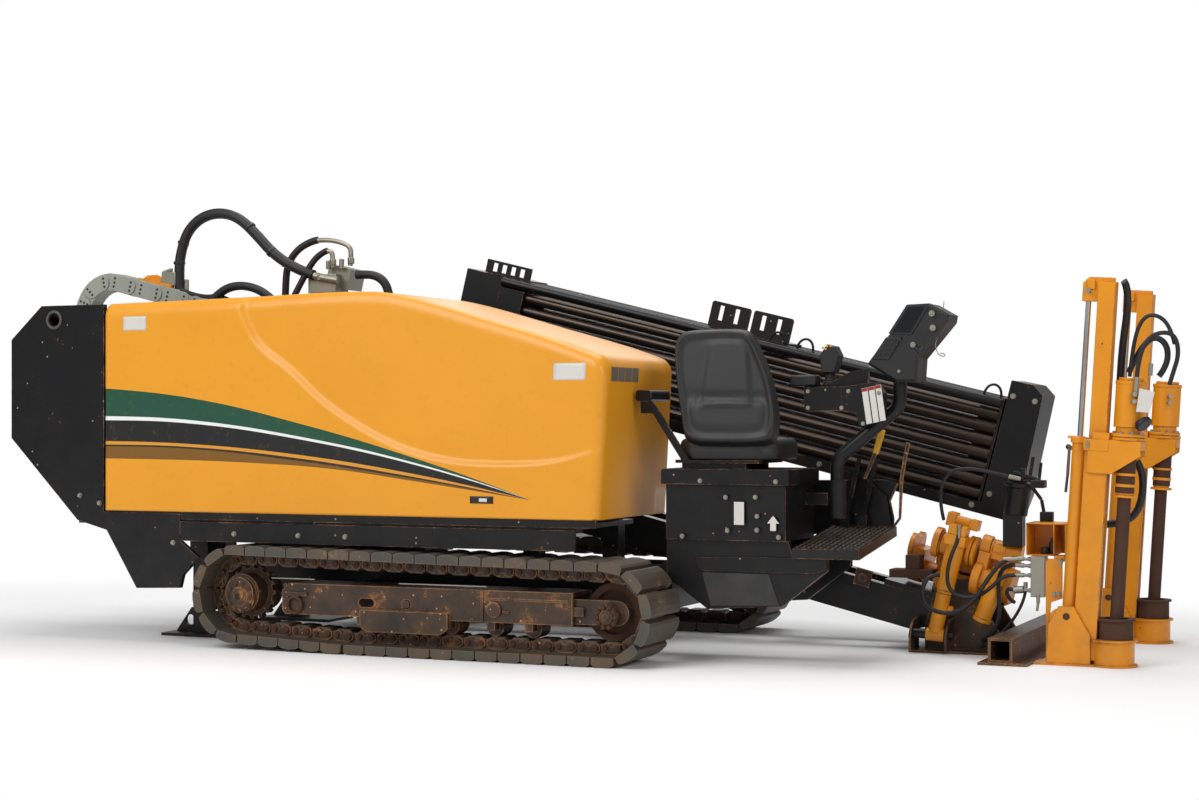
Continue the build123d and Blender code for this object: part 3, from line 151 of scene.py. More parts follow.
@dataclass(frozen=True)
class WornFinish:
    """A sprayed or bare metal surface that wears at its edges and gathers dust and mud.

    The sizes ending in _mm are real ones. A cell of the splash pattern holds a splash where its
    random value passes the field splash, so 1.0 gives none. Dust thins out up to dust_top metres.
    """

    name: str
    colour: str
    tone: str
    chip: str
    core: str
    dirt: str
    roughness: float
    metallic: float = 0.0
    edge_wear: float = 0.5
    scatter: float = 0.2
    dirt_share: float = 0.3
    edge_mm: float = 7.0
    chip_mm: float = 22.0
    tone_mm: float = 420.0
    bump_mm: float = 0.5
    grit_mm: float = 3.0
    sheen: float = 0.5
    splash: float = 1.0
    splash_colour: str = "#9A8468"
    splash_cell_mm: float = 34.0
    splash_share: float = 0.15
    patch_chips: float = 9.0
    dust_top: float = 1.3

    def build(self) -> bpy.types.Material:
        """Makes the material.

        Returns:
            The finished material.
        """
        material, tree = new_tree(self.name)
        place = add_node(tree, "ShaderNodeTexCoord").outputs["Object"]
        tone = add_node(
            tree,
            "ShaderNodeTexNoise",
            None,
            {"Vector": place, "Scale": 1 / (self.tone_mm * MM), "Detail": 4.0, "Roughness": 0.6},
        )
        flakes = add_node(
            tree,
            "ShaderNodeTexNoise",
            None,
            {"Vector": place, "Scale": 1 / (self.chip_mm * MM), "Detail": 7.0, "Roughness": 0.72},
        )
        patches = add_node(
            tree,
            "ShaderNodeTexNoise",
            None,
            {
                "Vector": place,
                "Scale": 1 / (self.chip_mm * self.patch_chips * MM),
                "Detail": 3.0,
                "Roughness": 0.6,
            },
        )
        rounded = add_node(
            tree, "ShaderNodeBevel", {"samples": 4}, {"Radius": self.edge_mm * MM}
        )
        flat = add_node(tree, "ShaderNodeNewGeometry")
        likeness = add_node(
            tree,
            "ShaderNodeVectorMath",
            {"operation": "DOT_PRODUCT"},
            {0: rounded.outputs[0], 1: flat.outputs["Normal"]},
        )
        edge = add_node(
            tree,
            "ShaderNodeMapRange",
            {"clamp": True},
            {
                "Value": likeness.outputs["Value"],
                "From Min": 0.995,
                "From Max": 0.85,
                "To Min": 0.0,
                "To Max": self.edge_wear,
            },
        )
        spread = add_node(
            tree,
            "ShaderNodeMapRange",
            {"clamp": True},
            {
                "Value": patches.outputs[0],
                "From Min": 0.45,
                "From Max": 0.75,
                "To Min": -0.1,
                "To Max": self.scatter,
            },
        )
        total = add_node(
            tree,
            "ShaderNodeMath",
            {"operation": "ADD"},
            {0: edge.outputs[0], 1: spread.outputs[0]},
        )
        depth = add_node(
            tree,
            "ShaderNodeMath",
            {"operation": "ADD"},
            {0: total.outputs[0], 1: flakes.outputs[0]},
        )
        bare = add_node(
            tree,
            "ShaderNodeMapRange",
            {"clamp": True},
            {"Value": depth.outputs[0], "From Min": 0.76, "From Max": 0.8},
        )
        deep = add_node(
            tree,
            "ShaderNodeMapRange",
            {"clamp": True},
            {"Value": depth.outputs[0], "From Min": 0.84, "From Max": 1.0},
        )
        coat = add_node(
            tree,
            "ShaderNodeMix",
            {"data_type": "RGBA"},
            {"Factor": tone.outputs[0], 6: to_linear(self.colour), 7: to_linear(self.tone)},
        )
        rust = add_node(
            tree,
            "ShaderNodeMix",
            {"data_type": "RGBA"},
            {"Factor": deep.outputs[0], 6: to_linear(self.chip), 7: to_linear(self.core)},
        )
        worn = add_node(
            tree,
            "ShaderNodeMix",
            {"data_type": "RGBA"},
            {"Factor": bare.outputs[0], 6: coat.outputs[2], 7: rust.outputs[2]},
        )
        height = add_node(tree, "ShaderNodeSeparateXYZ", None, {"Vector": place})
        low = add_node(
            tree,
            "ShaderNodeMapRange",
            {"clamp": True},
            {
                "Value": height.outputs["Z"],
                "From Min": self.dust_top,
                "From Max": 0.0,
                "To Min": 0.25,
                "To Max": 1.0,
            },
        )
        film = add_node(
            tree,
            "ShaderNodeMapRange",
            {"clamp": True},
            {
                "Value": patches.outputs[0],
                "From Min": 0.35,
                "From Max": 0.75,
                "To Min": 0.0,
                "To Max": self.dirt_share * 2,
            },
        )
        dust = add_node(
            tree,
            "ShaderNodeMath",
            {"operation": "MULTIPLY", "use_clamp": True},
            {0: film.outputs[0], 1: low.outputs[0]},
        )
        dirty = add_node(
            tree,
            "ShaderNodeMix",
            {"data_type": "RGBA"},
            {"Factor": dust.outputs[0], 6: worn.outputs[2], 7: to_linear(self.dirt)},
        )
        # Dried splashes of mud about 10 mm across, in a share of cells 34 mm wide.
        cells = add_node(
            tree,
            "ShaderNodeTexVoronoi",
            None,
            {"Vector": place, "Scale": 1 / (self.splash_cell_mm * MM)},
        )
        drop = add_node(
            tree,
            "ShaderNodeMath",
            {"operation": "LESS_THAN"},
            {0: cells.outputs["Distance"], 1: self.splash_share},
        )
        shade = add_node(tree, "ShaderNodeSeparateColor", None, {"Color": cells.outputs["Color"]})
        picked = add_node(
            tree,
            "ShaderNodeMath",
            {"operation": "GREATER_THAN"},
            {0: shade.outputs[0], 1: self.splash},
        )
        splashed = add_node(
            tree,
            "ShaderNodeMath",
            {"operation": "MULTIPLY"},
            {0: drop.outputs[0], 1: picked.outputs[0]},
        )
        spotted = add_node(
            tree,
            "ShaderNodeMix",
            {"data_type": "RGBA"},
            {"Factor": splashed.outputs[0], 6: dirty.outputs[2], 7: to_linear(self.splash_colour)},
        )
        matt = add_node(
            tree,
            "ShaderNodeMapRange",
            {"clamp": True},
            {
                "Value": bare.outputs[0],
                "To Min": self.roughness,
                "To Max": min(1.0, self.roughness + 0.35),
            },
        )
        grit = add_node(
            tree,
            "ShaderNodeTexNoise",
            None,
            {"Vector": place, "Scale": 1 / (self.grit_mm * MM), "Detail": 3.0},
        )
        relief = add_node(
            tree,
            "ShaderNodeMath",
            {"operation": "SUBTRACT"},
            {0: grit.outputs[0], 1: bare.outputs[0]},
        )
        bump = add_node(
            tree,
            "ShaderNodeBump",
            None,
            {"Strength": 0.35, "Distance": self.bump_mm * MM, "Height": relief.outputs[0]},
        )
        close_tree(
            tree,
            {
                "Base Color": spotted.outputs[2],
                "Roughness": matt.outputs[0],
                "Metallic": self.metallic,
                "Specular IOR Level": self.sheen,
                "Normal": bump.outputs[0],
            },
        )
        return material


@dataclass(frozen=True)
class GrainedFinish:
    """A moulded, rubber or cast surface with a fine grain and no chips."""

    name: str
    colour: str
    tone: str
    roughness: float
    metallic: float = 0.0
    grain_mm: float = 2.0
    bump_mm: float = 0.3
    tone_mm: float = 150.0
    ior: float = 1.5

    def build(self) -> bpy.types.Material:
        """Makes the material.

        Returns:
            The finished material.
        """
        material, tree = new_tree(self.name)
        place = add_node(tree, "ShaderNodeTexCoord").outputs["Object"]
        tone = add_node(
            tree,
            "ShaderNodeTexNoise",
            None,
            {"Vector": place, "Scale": 1 / (self.tone_mm * MM), "Detail": 5.0, "Roughness": 0.65},
        )
        grain = add_node(
            tree,
            "ShaderNodeTexVoronoi",
            None,
            {"Vector": place, "Scale": 1 / (self.grain_mm * MM)},
        )
        colour = add_node(
            tree,
            "ShaderNodeMix",
            {"data_type": "RGBA"},
            {"Factor": tone.outputs[0], 6: to_linear(self.colour), 7: to_linear(self.tone)},
        )
        matt = add_node(
            tree,
            "ShaderNodeMapRange",
            {"clamp": True},
            {
                "Value": tone.outputs[0],
                "To Min": max(0.05, self.roughness - 0.12),
                "To Max": min(1.0, self.roughness + 0.12),
            },
        )
        bump = add_node(
            tree,
            "ShaderNodeBump",
            None,
            {"Strength": 0.4, "Distance": self.bump_mm * MM, "Height": grain.outputs[0]},
        )
        surface = {
            "Base Color": colour.outputs[2],
            "Roughness": matt.outputs[0],
            "Metallic": self.metallic,
            "Normal": bump.outputs[0],
        }
        if self.metallic == 0.0:
            surface["IOR"] = self.ior
        close_tree(tree, surface)
        return material


@dataclass(frozen=True)
class HoodFinish:
    """Golden gel-coat on a moulded hood, with its sweep of coloured bands.

    Each band starts at a line given as (x, z) points in metres, from the lowest line up.
    The bands run from the hood's rear edge to a point near its front, on the near side only.
    The sizes of the haze, the streaks of dirt and the waves of the mould are in metres.
    """

    name: str = "gel_coated_fibreglass"
    colour: str = "#EBA01C"
    tone: str = "#DE9212"
    rear_x: float = -2.135
    front_x: float = 0.41
    low_z: float = 0.7
    high_z: float = 1.5
    tip_z: float = 0.806
    near_y: float = -1.0
    rear_overlap: float = 0.06
    haze: float = 0.55
    streak: float = 0.04
    wave: float = 0.25
    dirt: str = "#A8761F"

    def lines(self) -> list[tuple[str, list[tuple[float, float]]]]:
        """Gives the lines that the bands start at, from the lowest up.

        Returns:
            Each line's colour above it, empty for the hood's own, and its (x, z) points.
        """
        rear, tip = self.rear_x, (self.front_x, self.tip_z)
        return [
            ("#7A5210", [(rear, 0.995), (-1.2, 0.978), (-0.72, 0.95), (-0.3, 0.9), tip]),
            ("#2A1E10", [(rear, 1.062), (-1.6, 1.05), (-1.0, 0.998), (-0.3, 0.912), tip]),
            ("#D9932A", [(rear, 1.071), (-1.6, 1.06), (-1.0, 1.012), (-0.3, 0.922), tip]),
            ("#0D0E10", [(rear, 1.09), (-1.6, 1.076), (-1.0, 1.03), (-0.3, 0.938), tip]),
            ("#E9ECEA", [(rear, 1.204), (-1.6, 1.186), (-0.9, 1.1), (-0.25, 0.978), tip]),
            ("#114A34", [(rear, 1.226), (-1.6, 1.204), (-0.9, 1.114), (-0.25, 0.988), tip]),
            ("", [(rear, 1.376), (-1.6, 1.322), (-0.9, 1.18), (-0.25, 1.012), tip]),
        ]

    def build(self) -> bpy.types.Material:
        """Makes the material.

        Returns:
            The finished material.
        """
        material, tree = new_tree(self.name)
        place = add_node(tree, "ShaderNodeTexCoord").outputs["Object"]
        axes = add_node(tree, "ShaderNodeSeparateXYZ", None, {"Vector": place})
        haze = add_node(
            tree,
            "ShaderNodeTexNoise",
            None,
            {"Vector": place, "Scale": 1 / self.haze, "Detail": 5.0, "Roughness": 0.62},
        )
        coat = add_node(
            tree,
            "ShaderNodeMix",
            {"data_type": "RGBA"},
            {"Factor": haze.outputs[0], 6: to_linear(self.colour), 7: to_linear(self.tone)},
        ).outputs[2]
        along = add_node(
            tree,
            "ShaderNodeMapRange",
            {"clamp": True},
            {"Value": axes.outputs["X"], "From Min": self.rear_x, "From Max": self.front_x},
        )
        level = add_node(
            tree,
            "ShaderNodeMapRange",
            {"clamp": True},
            {"Value": axes.outputs["Z"], "From Min": self.low_z, "From Max": self.high_z},
        )
        near = add_node(
            tree,
            "ShaderNodeMath",
            {"operation": "LESS_THAN"},
            {0: axes.outputs["Y"], 1: self.near_y},
        )
        colour = coat
        for paint, points in self.lines():
            curve = [
                (
                    (x - self.rear_x) / (self.front_x - self.rear_x),
                    (z - self.low_z) / (self.high_z - self.low_z),
                )
                for x, z in points
            ]
            ordered = [curve[0], curve[-1], *curve[1:-1]]
            line = add_node(
                tree, "ShaderNodeFloatCurve", {"curve": ordered}, {"Value": along.outputs[0]}
            )
            above = add_node(
                tree,
                "ShaderNodeMath",
                {"operation": "GREATER_THAN"},
                {0: level.outputs[0], 1: line.outputs[0]},
            )
            colour = add_node(
                tree,
                "ShaderNodeMix",
                {"data_type": "RGBA"},
                {
                    "Factor": above.outputs[0],
                    6: colour,
                    7: to_linear(paint) if paint else coat,
                },
            ).outputs[2]
        inside = add_node(
            tree,
            "ShaderNodeMath",
            {"operation": "GREATER_THAN"},
            {0: axes.outputs["X"], 1: self.rear_x - self.rear_overlap},
        )
        both = add_node(
            tree,
            "ShaderNodeMath",
            {"operation": "MULTIPLY"},
            {0: near.outputs[0], 1: inside.outputs[0]},
        )
        banded = add_node(
            tree,
            "ShaderNodeMix",
            {"data_type": "RGBA"},
            {"Factor": both.outputs[0], 6: coat, 7: colour},
        )
        streaks = add_node(
            tree,
            "ShaderNodeTexNoise",
            None,
            {"Vector": place, "Scale": 1 / self.streak, "Detail": 6.0, "Roughness": 0.7},
        )
        soil = add_node(
            tree,
            "ShaderNodeMapRange",
            {"clamp": True},
            {"Value": streaks.outputs[0], "From Min": 0.56, "From Max": 0.8, "To Max": 0.25},
        )
        soiled = add_node(
            tree,
            "ShaderNodeMix",
            {"data_type": "RGBA"},
            {"Factor": soil.outputs[0], 6: banded.outputs[2], 7: to_linear(self.dirt)},
        )
        wave = add_node(
            tree,
            "ShaderNodeTexNoise",
            None,
            {"Vector": place, "Scale": 1 / self.wave, "Detail": 2.0},
        )
        bump = add_node(
            tree,
            "ShaderNodeBump",
            None,
            {"Strength": 0.25, "Distance": 0.004, "Height": wave.outputs[0]},
        )
        close_tree(
            tree,
            {
                "Base Color": soiled.outputs[2],
                "Roughness": 0.38,
                "Coat Weight": 0.12,
                "Coat Roughness": 0.2,
                "Normal": bump.outputs[0],
            },
        )
        return material


class Finish(Enum):
    """The machine's finishes, each named for what the real surface is."""

    # Gel-coated fibreglass: golden, a little hazy, with soft gloss and dusty streaks.
    HOOD = HoodFinish()
    # Sprayed enamel on welded steel: glossy, with rust where rods and chains strike it.
    YELLOW = WornFinish(
        "yellow_enamel", "#E8960A", "#DB8704", "#7A3F18", "#33221A", "#8A6230", 0.36,
        edge_wear=0.36, scatter=0.26, dirt_share=0.25, chip_mm=20.0, splash=0.95,
        splash_colour="#7A4A22",
    )
    # Black enamel: satin, grey with dust, orange where its edges have rubbed through.
    BLACK = WornFinish(
        "black_enamel", "#08090B", "#101114", "#8A5C3A", "#B08A62", "#3A342E", 0.34,
        edge_wear=0.3, scatter=0.22, dirt_share=0.18, chip_mm=18.0, splash=0.92, sheen=0.32,
    )
    # Black enamel scraped by soil and stones down to rust.
    SCRAPED = WornFinish(
        "scraped_enamel", "#14110F", "#33241B", "#9A6238", "#C58F5C", "#5E4229", 0.5,
        edge_wear=0.45, scatter=0.5, dirt_share=0.42, chip_mm=17.0, edge_mm=10.0, splash=0.55,
        splash_colour="#C08A5C",
    )
    # Forged and rolled shoes: dull grey with mud in the joints and bright worn edges.
    SHOES = WornFinish(
        "forged_steel", "#383937", "#625F57", "#968E80", "#7A6048", "#6E5840", 0.55,
        metallic=0.4, edge_wear=0.5, scatter=0.32, dirt_share=0.45, chip_mm=24.0, splash=0.8,
        splash_colour="#8E7656",
    )
    # Mill scale and rust from standing in wet ground.
    RUST = WornFinish(
        "rusted_steel", "#3A2418", "#4E2F1E", "#7A4526", "#241812", "#5A4030", 0.8,
        metallic=0.15, edge_wear=0.35, scatter=0.3, dirt_share=0.3, chip_mm=16.0,
    )
    # Drill pipe: dark rolled steel, brown where the tool joints were gripped.
    PIPE = WornFinish(
        "rolled_pipe", "#2A2624", "#4E4036", "#6A4A34", "#8A6142", "#4A3C30", 0.3,
        metallic=0.8, edge_wear=0.3, scatter=0.22, dirt_share=0.25, chip_mm=40.0,
    )
    # Cast iron under thin paint: dull dark grey with dust.
    IRON = WornFinish(
        "cast_iron", "#202224", "#2C2D2E", "#4A3A30", "#2A211C", "#4C463E", 0.6,
        edge_wear=0.2, scatter=0.1, dirt_share=0.3,
    )
    # Zinc-plated hydraulic blocks and fittings: warm grey with a soft gloss.
    ZINC = GrainedFinish("zinc_plated_steel", "#8E8C82", "#A8A394", 0.42, 0.75, 1.5, 0.15)
    # Hard chrome on the lift rods, ground smooth: bright with narrow reflections.
    CHROME = GrainedFinish("hard_chrome", "#C9CCD0", "#DDE0E2", 0.16, 1.0, 1.2, 0.02)
    # Hydraulic hose: nitrile rubber with a wrapped cover, matt and near black.
    RUBBER = GrainedFinish("nitrile_rubber", "#0B0B0C", "#161618", 0.55, 0.0, 2.5, 0.3, ior=1.52)
    # Seat cover: vacuum-formed vinyl, a broad sheen broken by a leather grain of about 2 mm.
    VINYL = GrainedFinish("moulded_vinyl", "#0E0F10", "#18191B", 0.48, 0.0, 2.2, 0.35, ior=1.53)
    # Housings of the display and joystick: injection-moulded ABS, satin black.
    ABS = GrainedFinish("moulded_abs", "#0A0B0D", "#141518", 0.45, 0.0, 1.4, 0.15, ior=1.54)
    # Energy chain: glass-filled nylon, grey with dust.
    NYLON = GrainedFinish("glass_filled_nylon", "#8A8D84", "#A3A498", 0.6, 0.0, 2.0, 0.2)
    # Blank labels: bare vinyl film, off-white and slightly glossy.
    LABEL = GrainedFinish("vinyl_film", "#DAD8D2", "#C9C6BE", 0.4, 0.0, 3.0, 0.05)
    # Screen: cover glass, dark with a clear reflection.
    GLASS = GrainedFinish("cover_glass", "#0B0D10", "#101318", 0.12, 0.0, 5.0, 0.01, ior=1.52)
    # Grips and the plates' heads: dipped PVC, a plain colour with a dull gloss.
    GRIP = GrainedFinish("soft_pvc_yellow", "#D9A11A", "#B98614", 0.5, 0.0, 2.0, 0.3)
    RED = GrainedFinish("soft_pvc_red", "#A81C18", "#8C1512", 0.45, 0.0, 2.0, 0.2)


MATERIALS: dict[Finish, bpy.types.Material] = {}


def finish_of(kind: Finish) -> bpy.types.Material:
    """Gives a finish's material, made once.

    Args:
        kind: The finish.

    Returns:
        Its material.
    """
    if kind not in MATERIALS:
        MATERIALS[kind] = kind.value.build()
    return MATERIALS[kind]


@dataclass
class Piece:
    """A piece of the scene in the making: its mesh, finish, body and slot."""

    name: str
    finish: Finish
    body: str
    slot: str
    frame: Matrix = field(default_factory=lambda: GROUND)
    mesh: bmesh.types.BMesh = field(default_factory=bmesh.new)

    def box(self, low: Vector | tuple, high: Vector | tuple, turn: Matrix | None = None) -> None:
        """Adds a box.

        Args:
            low: Its lowest corner.
            high: Its highest corner.
            turn: A transform applied after the box is placed.
        """
        low, high = Vector(low), Vector(high)
        place = Matrix.Translation((low + high) / 2) @ Matrix.Diagonal((*(high - low), 1.0))
        bmesh.ops.create_cube(self.mesh, size=1.0, matrix=(turn or Matrix()) @ place)

    def rod(self, start: Vector | tuple, end: Vector | tuple, radius: float, sides: int = 16,
            end_radius: float | None = None) -> None:
        """Adds a round bar or cone between two points.

        Args:
            start: The middle of its first end.
            end: The middle of its last end.
            radius: Its radius at the first end.
            sides: How many flats go round it.
            end_radius: Its radius at the last end, if it tapers.
        """
        start, end = Vector(start), Vector(end)
        along = end - start
        turn = along.to_track_quat("Z", "Y").to_matrix().to_4x4()
        bmesh.ops.create_cone(
            self.mesh,
            cap_ends=True,
            segments=sides,
            radius1=radius,
            radius2=radius if end_radius is None else end_radius,
            depth=along.length,
            matrix=Matrix.Translation((start + end) / 2) @ turn,
        )

    def bolt(self, place: Vector | tuple, out: Vector | tuple, across: float) -> None:
        """Adds a hexagon bolt head on its washer.

        Args:
            place: The middle of its seat.
            out: The direction that it stands out in.
            across: The head's width across its corners.
        """
        place, out = Vector(place), Vector(out).normalized()
        self.rod(place, place + out * across * 0.14, across * 0.72, 14)
        self.rod(place + out * across * 0.1, place + out * across * 0.6, across * 0.55, 6)

    def slab(self, outline: Sequence, thickness: Vector) -> None:
        """Adds a flat plate from its outline and its thickness as a vector.

        Args:
            outline: The corners of one face, in order.
            thickness: The way to the other face.
        """
        first = [self.mesh.verts.new(p) for p in outline]
        last = [self.mesh.verts.new(Vector(p) + thickness) for p in outline]
        self.mesh.faces.new(first)
        self.mesh.faces.new(last[::-1])
        count = len(outline)
        for index in range(count):
            after = (index + 1) % count
            self.mesh.faces.new((first[after], first[index], last[index], last[after]))

    def plate(self, corners: Sequence, y: float, thickness: float) -> None:
        """Adds an upright plate that faces sideways.

        Args:
            corners: Its corners as (x, z), in order.
            y: Where its first face stands.
            thickness: The way along y to its other face.
        """
        self.slab([(x, y, z) for x, z in corners], Vector((0, thickness, 0)))

    def skin(self, rows: list[list[bmesh.types.BMVert]]) -> None:
        """Joins open rows of vertices, each to the next one, with faces.

        Args:
            rows: The rows, all of one length.
        """
        for first, last in zip(rows, rows[1:]):
            for index in range(len(first) - 1):
                self.mesh.faces.new(
                    (first[index], last[index], last[index + 1], first[index + 1])
                )

    def loft(self, rings: list[list[bmesh.types.BMVert]]) -> None:
        """Joins closed rings of vertices into a body, with a face over each end.

        Args:
            rings: The rings, all of one length.
        """
        for first, last in zip(rings, rings[1:]):
            for index in range(len(first)):
                after = (index + 1) % len(first)
                self.mesh.faces.new((first[index], first[after], last[after], last[index]))
        self.mesh.faces.new(rings[-1])
        self.mesh.faces.new(rings[0][::-1])

    def done(self, bevel: float = 0.0, smooth: bool = True, segments: int = 2) -> bpy.types.Object:
        """Turns the mesh into an object that rides on its body.

        Args:
            bevel: Width of the bevel on its sharp edges, in metres.
            smooth: Whether faces under 35 degrees apart are shaded as one.
            segments: How many faces round a bevel.

        Returns:
            The finished object.
        """
        bmesh.ops.recalc_face_normals(self.mesh, faces=self.mesh.faces)
        data = bpy.data.meshes.new(self.name)
        self.mesh.to_mesh(data)
        self.mesh.free()
        data.transform(self.frame)
        made = bpy.data.objects.new(self.name, data)
        bpy.context.scene.collection.objects.link(made)
        data.materials.append(finish_of(self.finish))
        if bevel:
            edge = made.modifiers.new("bevel", "BEVEL")
            edge.width = bevel
            edge.segments = segments
            edge.limit_method = "ANGLE"
            edge.angle_limit = math.radians(35)
        if smooth:
            data.shade_smooth()
            data.set_sharp_from_angle(angle=math.radians(38))
        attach(made, self.body)
        log.info("made %s on %s", self.name, self.body)
        return made


def hose(name: str, points: list[tuple], radius: float, body: str, finish: Finish = Finish.RUBBER,
         frame_of: Matrix = GROUND) -> bpy.types.Object:
    """Makes a hose along its points as a smooth tube.

    Args:
        name: The piece's name.
        points: The points that it follows, in millimetres.
        radius: Its outer radius in millimetres.
        body: The body that it rides on.
        finish: Its finish.
        frame_of: The frame that the points are given in.

    Returns:
        The finished object.
    """
    data = bpy.data.curves.new(name, "CURVE")
    data.dimensions = "3D"
    data.bevel_depth = radius * MM
    data.bevel_resolution = 3
    data.resolution_u = 5
    data.use_fill_caps = True
    spline = data.splines.new("NURBS")
    spline.points.add(len(points) - 1)
    for point, target in zip(spline.points, points):
        point.co = (*(frame_of @ Vector(target)), 1.0)
    spline.order_u = 3
    spline.use_endpoint_u = True
    made = bpy.data.objects.new(name, data)
    bpy.context.scene.collection.objects.link(made)
    data.materials.append(finish_of(finish))
    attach(made, body)
    return made


def ring_points(x: float, y: float, z: float, radius: float, turns: range) -> list[tuple]:
    """Gives the points of an upright ring that faces sideways.

    Args:
        x: Its middle's x.
        y: Its middle's y.
        z: Its middle's height.
        radius: Its radius.
        turns: The points' angles in degrees.

    Returns:
        The points.
    """
    angles = [math.radians(turn) for turn in turns]
    return [(x + radius * math.cos(a), y, z + radius * math.sin(a)) for a in angles]


def dress(finish: Finish, *nodes: str) -> None:
    """Gives carried-over nodes their finish.

    Args:
        finish: The finish.
        nodes: The nodes' names.
    """
    for name in nodes:
        data = frame["nodes"][name].data
        data.materials.clear()
        data.materials.append(finish_of(finish))


def between(points: list[tuple[float, float]], x: float) -> float:
    """Reads a smooth line through points at x.

    Args:
        points: The line's (x, value) points, from left to right.
        x: Where to read it.

    Returns:
        The value there.
    """
    if x <= points[0][0]:
        return points[0][1]
    for index in range(len(points) - 1):
        x0, y0 = points[index]
        x1, y1 = points[index + 1]
        if x > x1:
            continue
        before = points[max(index - 1, 0)]
        after = points[min(index + 2, len(points) - 1)]
        slope0 = (y1 - before[1]) / (x1 - before[0])
        slope1 = (after[1] - y0) / (after[0] - x0)
        t = (x - x0) / (x1 - x0)
        run = x1 - x0
        return (
            y0 * (2 * t**3 - 3 * t**2 + 1)
            + slope0 * run * (t**3 - 2 * t**2 + t)
            + y1 * (3 * t**2 - 2 * t**3)
            + slope1 * run * (t**3 - t**2)
        )
    return points[-1][1]


def ease(value: float, low: float, high: float) -> float:
    """Rises smoothly from 0 at low to 1 at high."""
    t = min(1.0, max(0.0, (value - low) / (high - low)))
    return t * t * (3 - 2 * t)


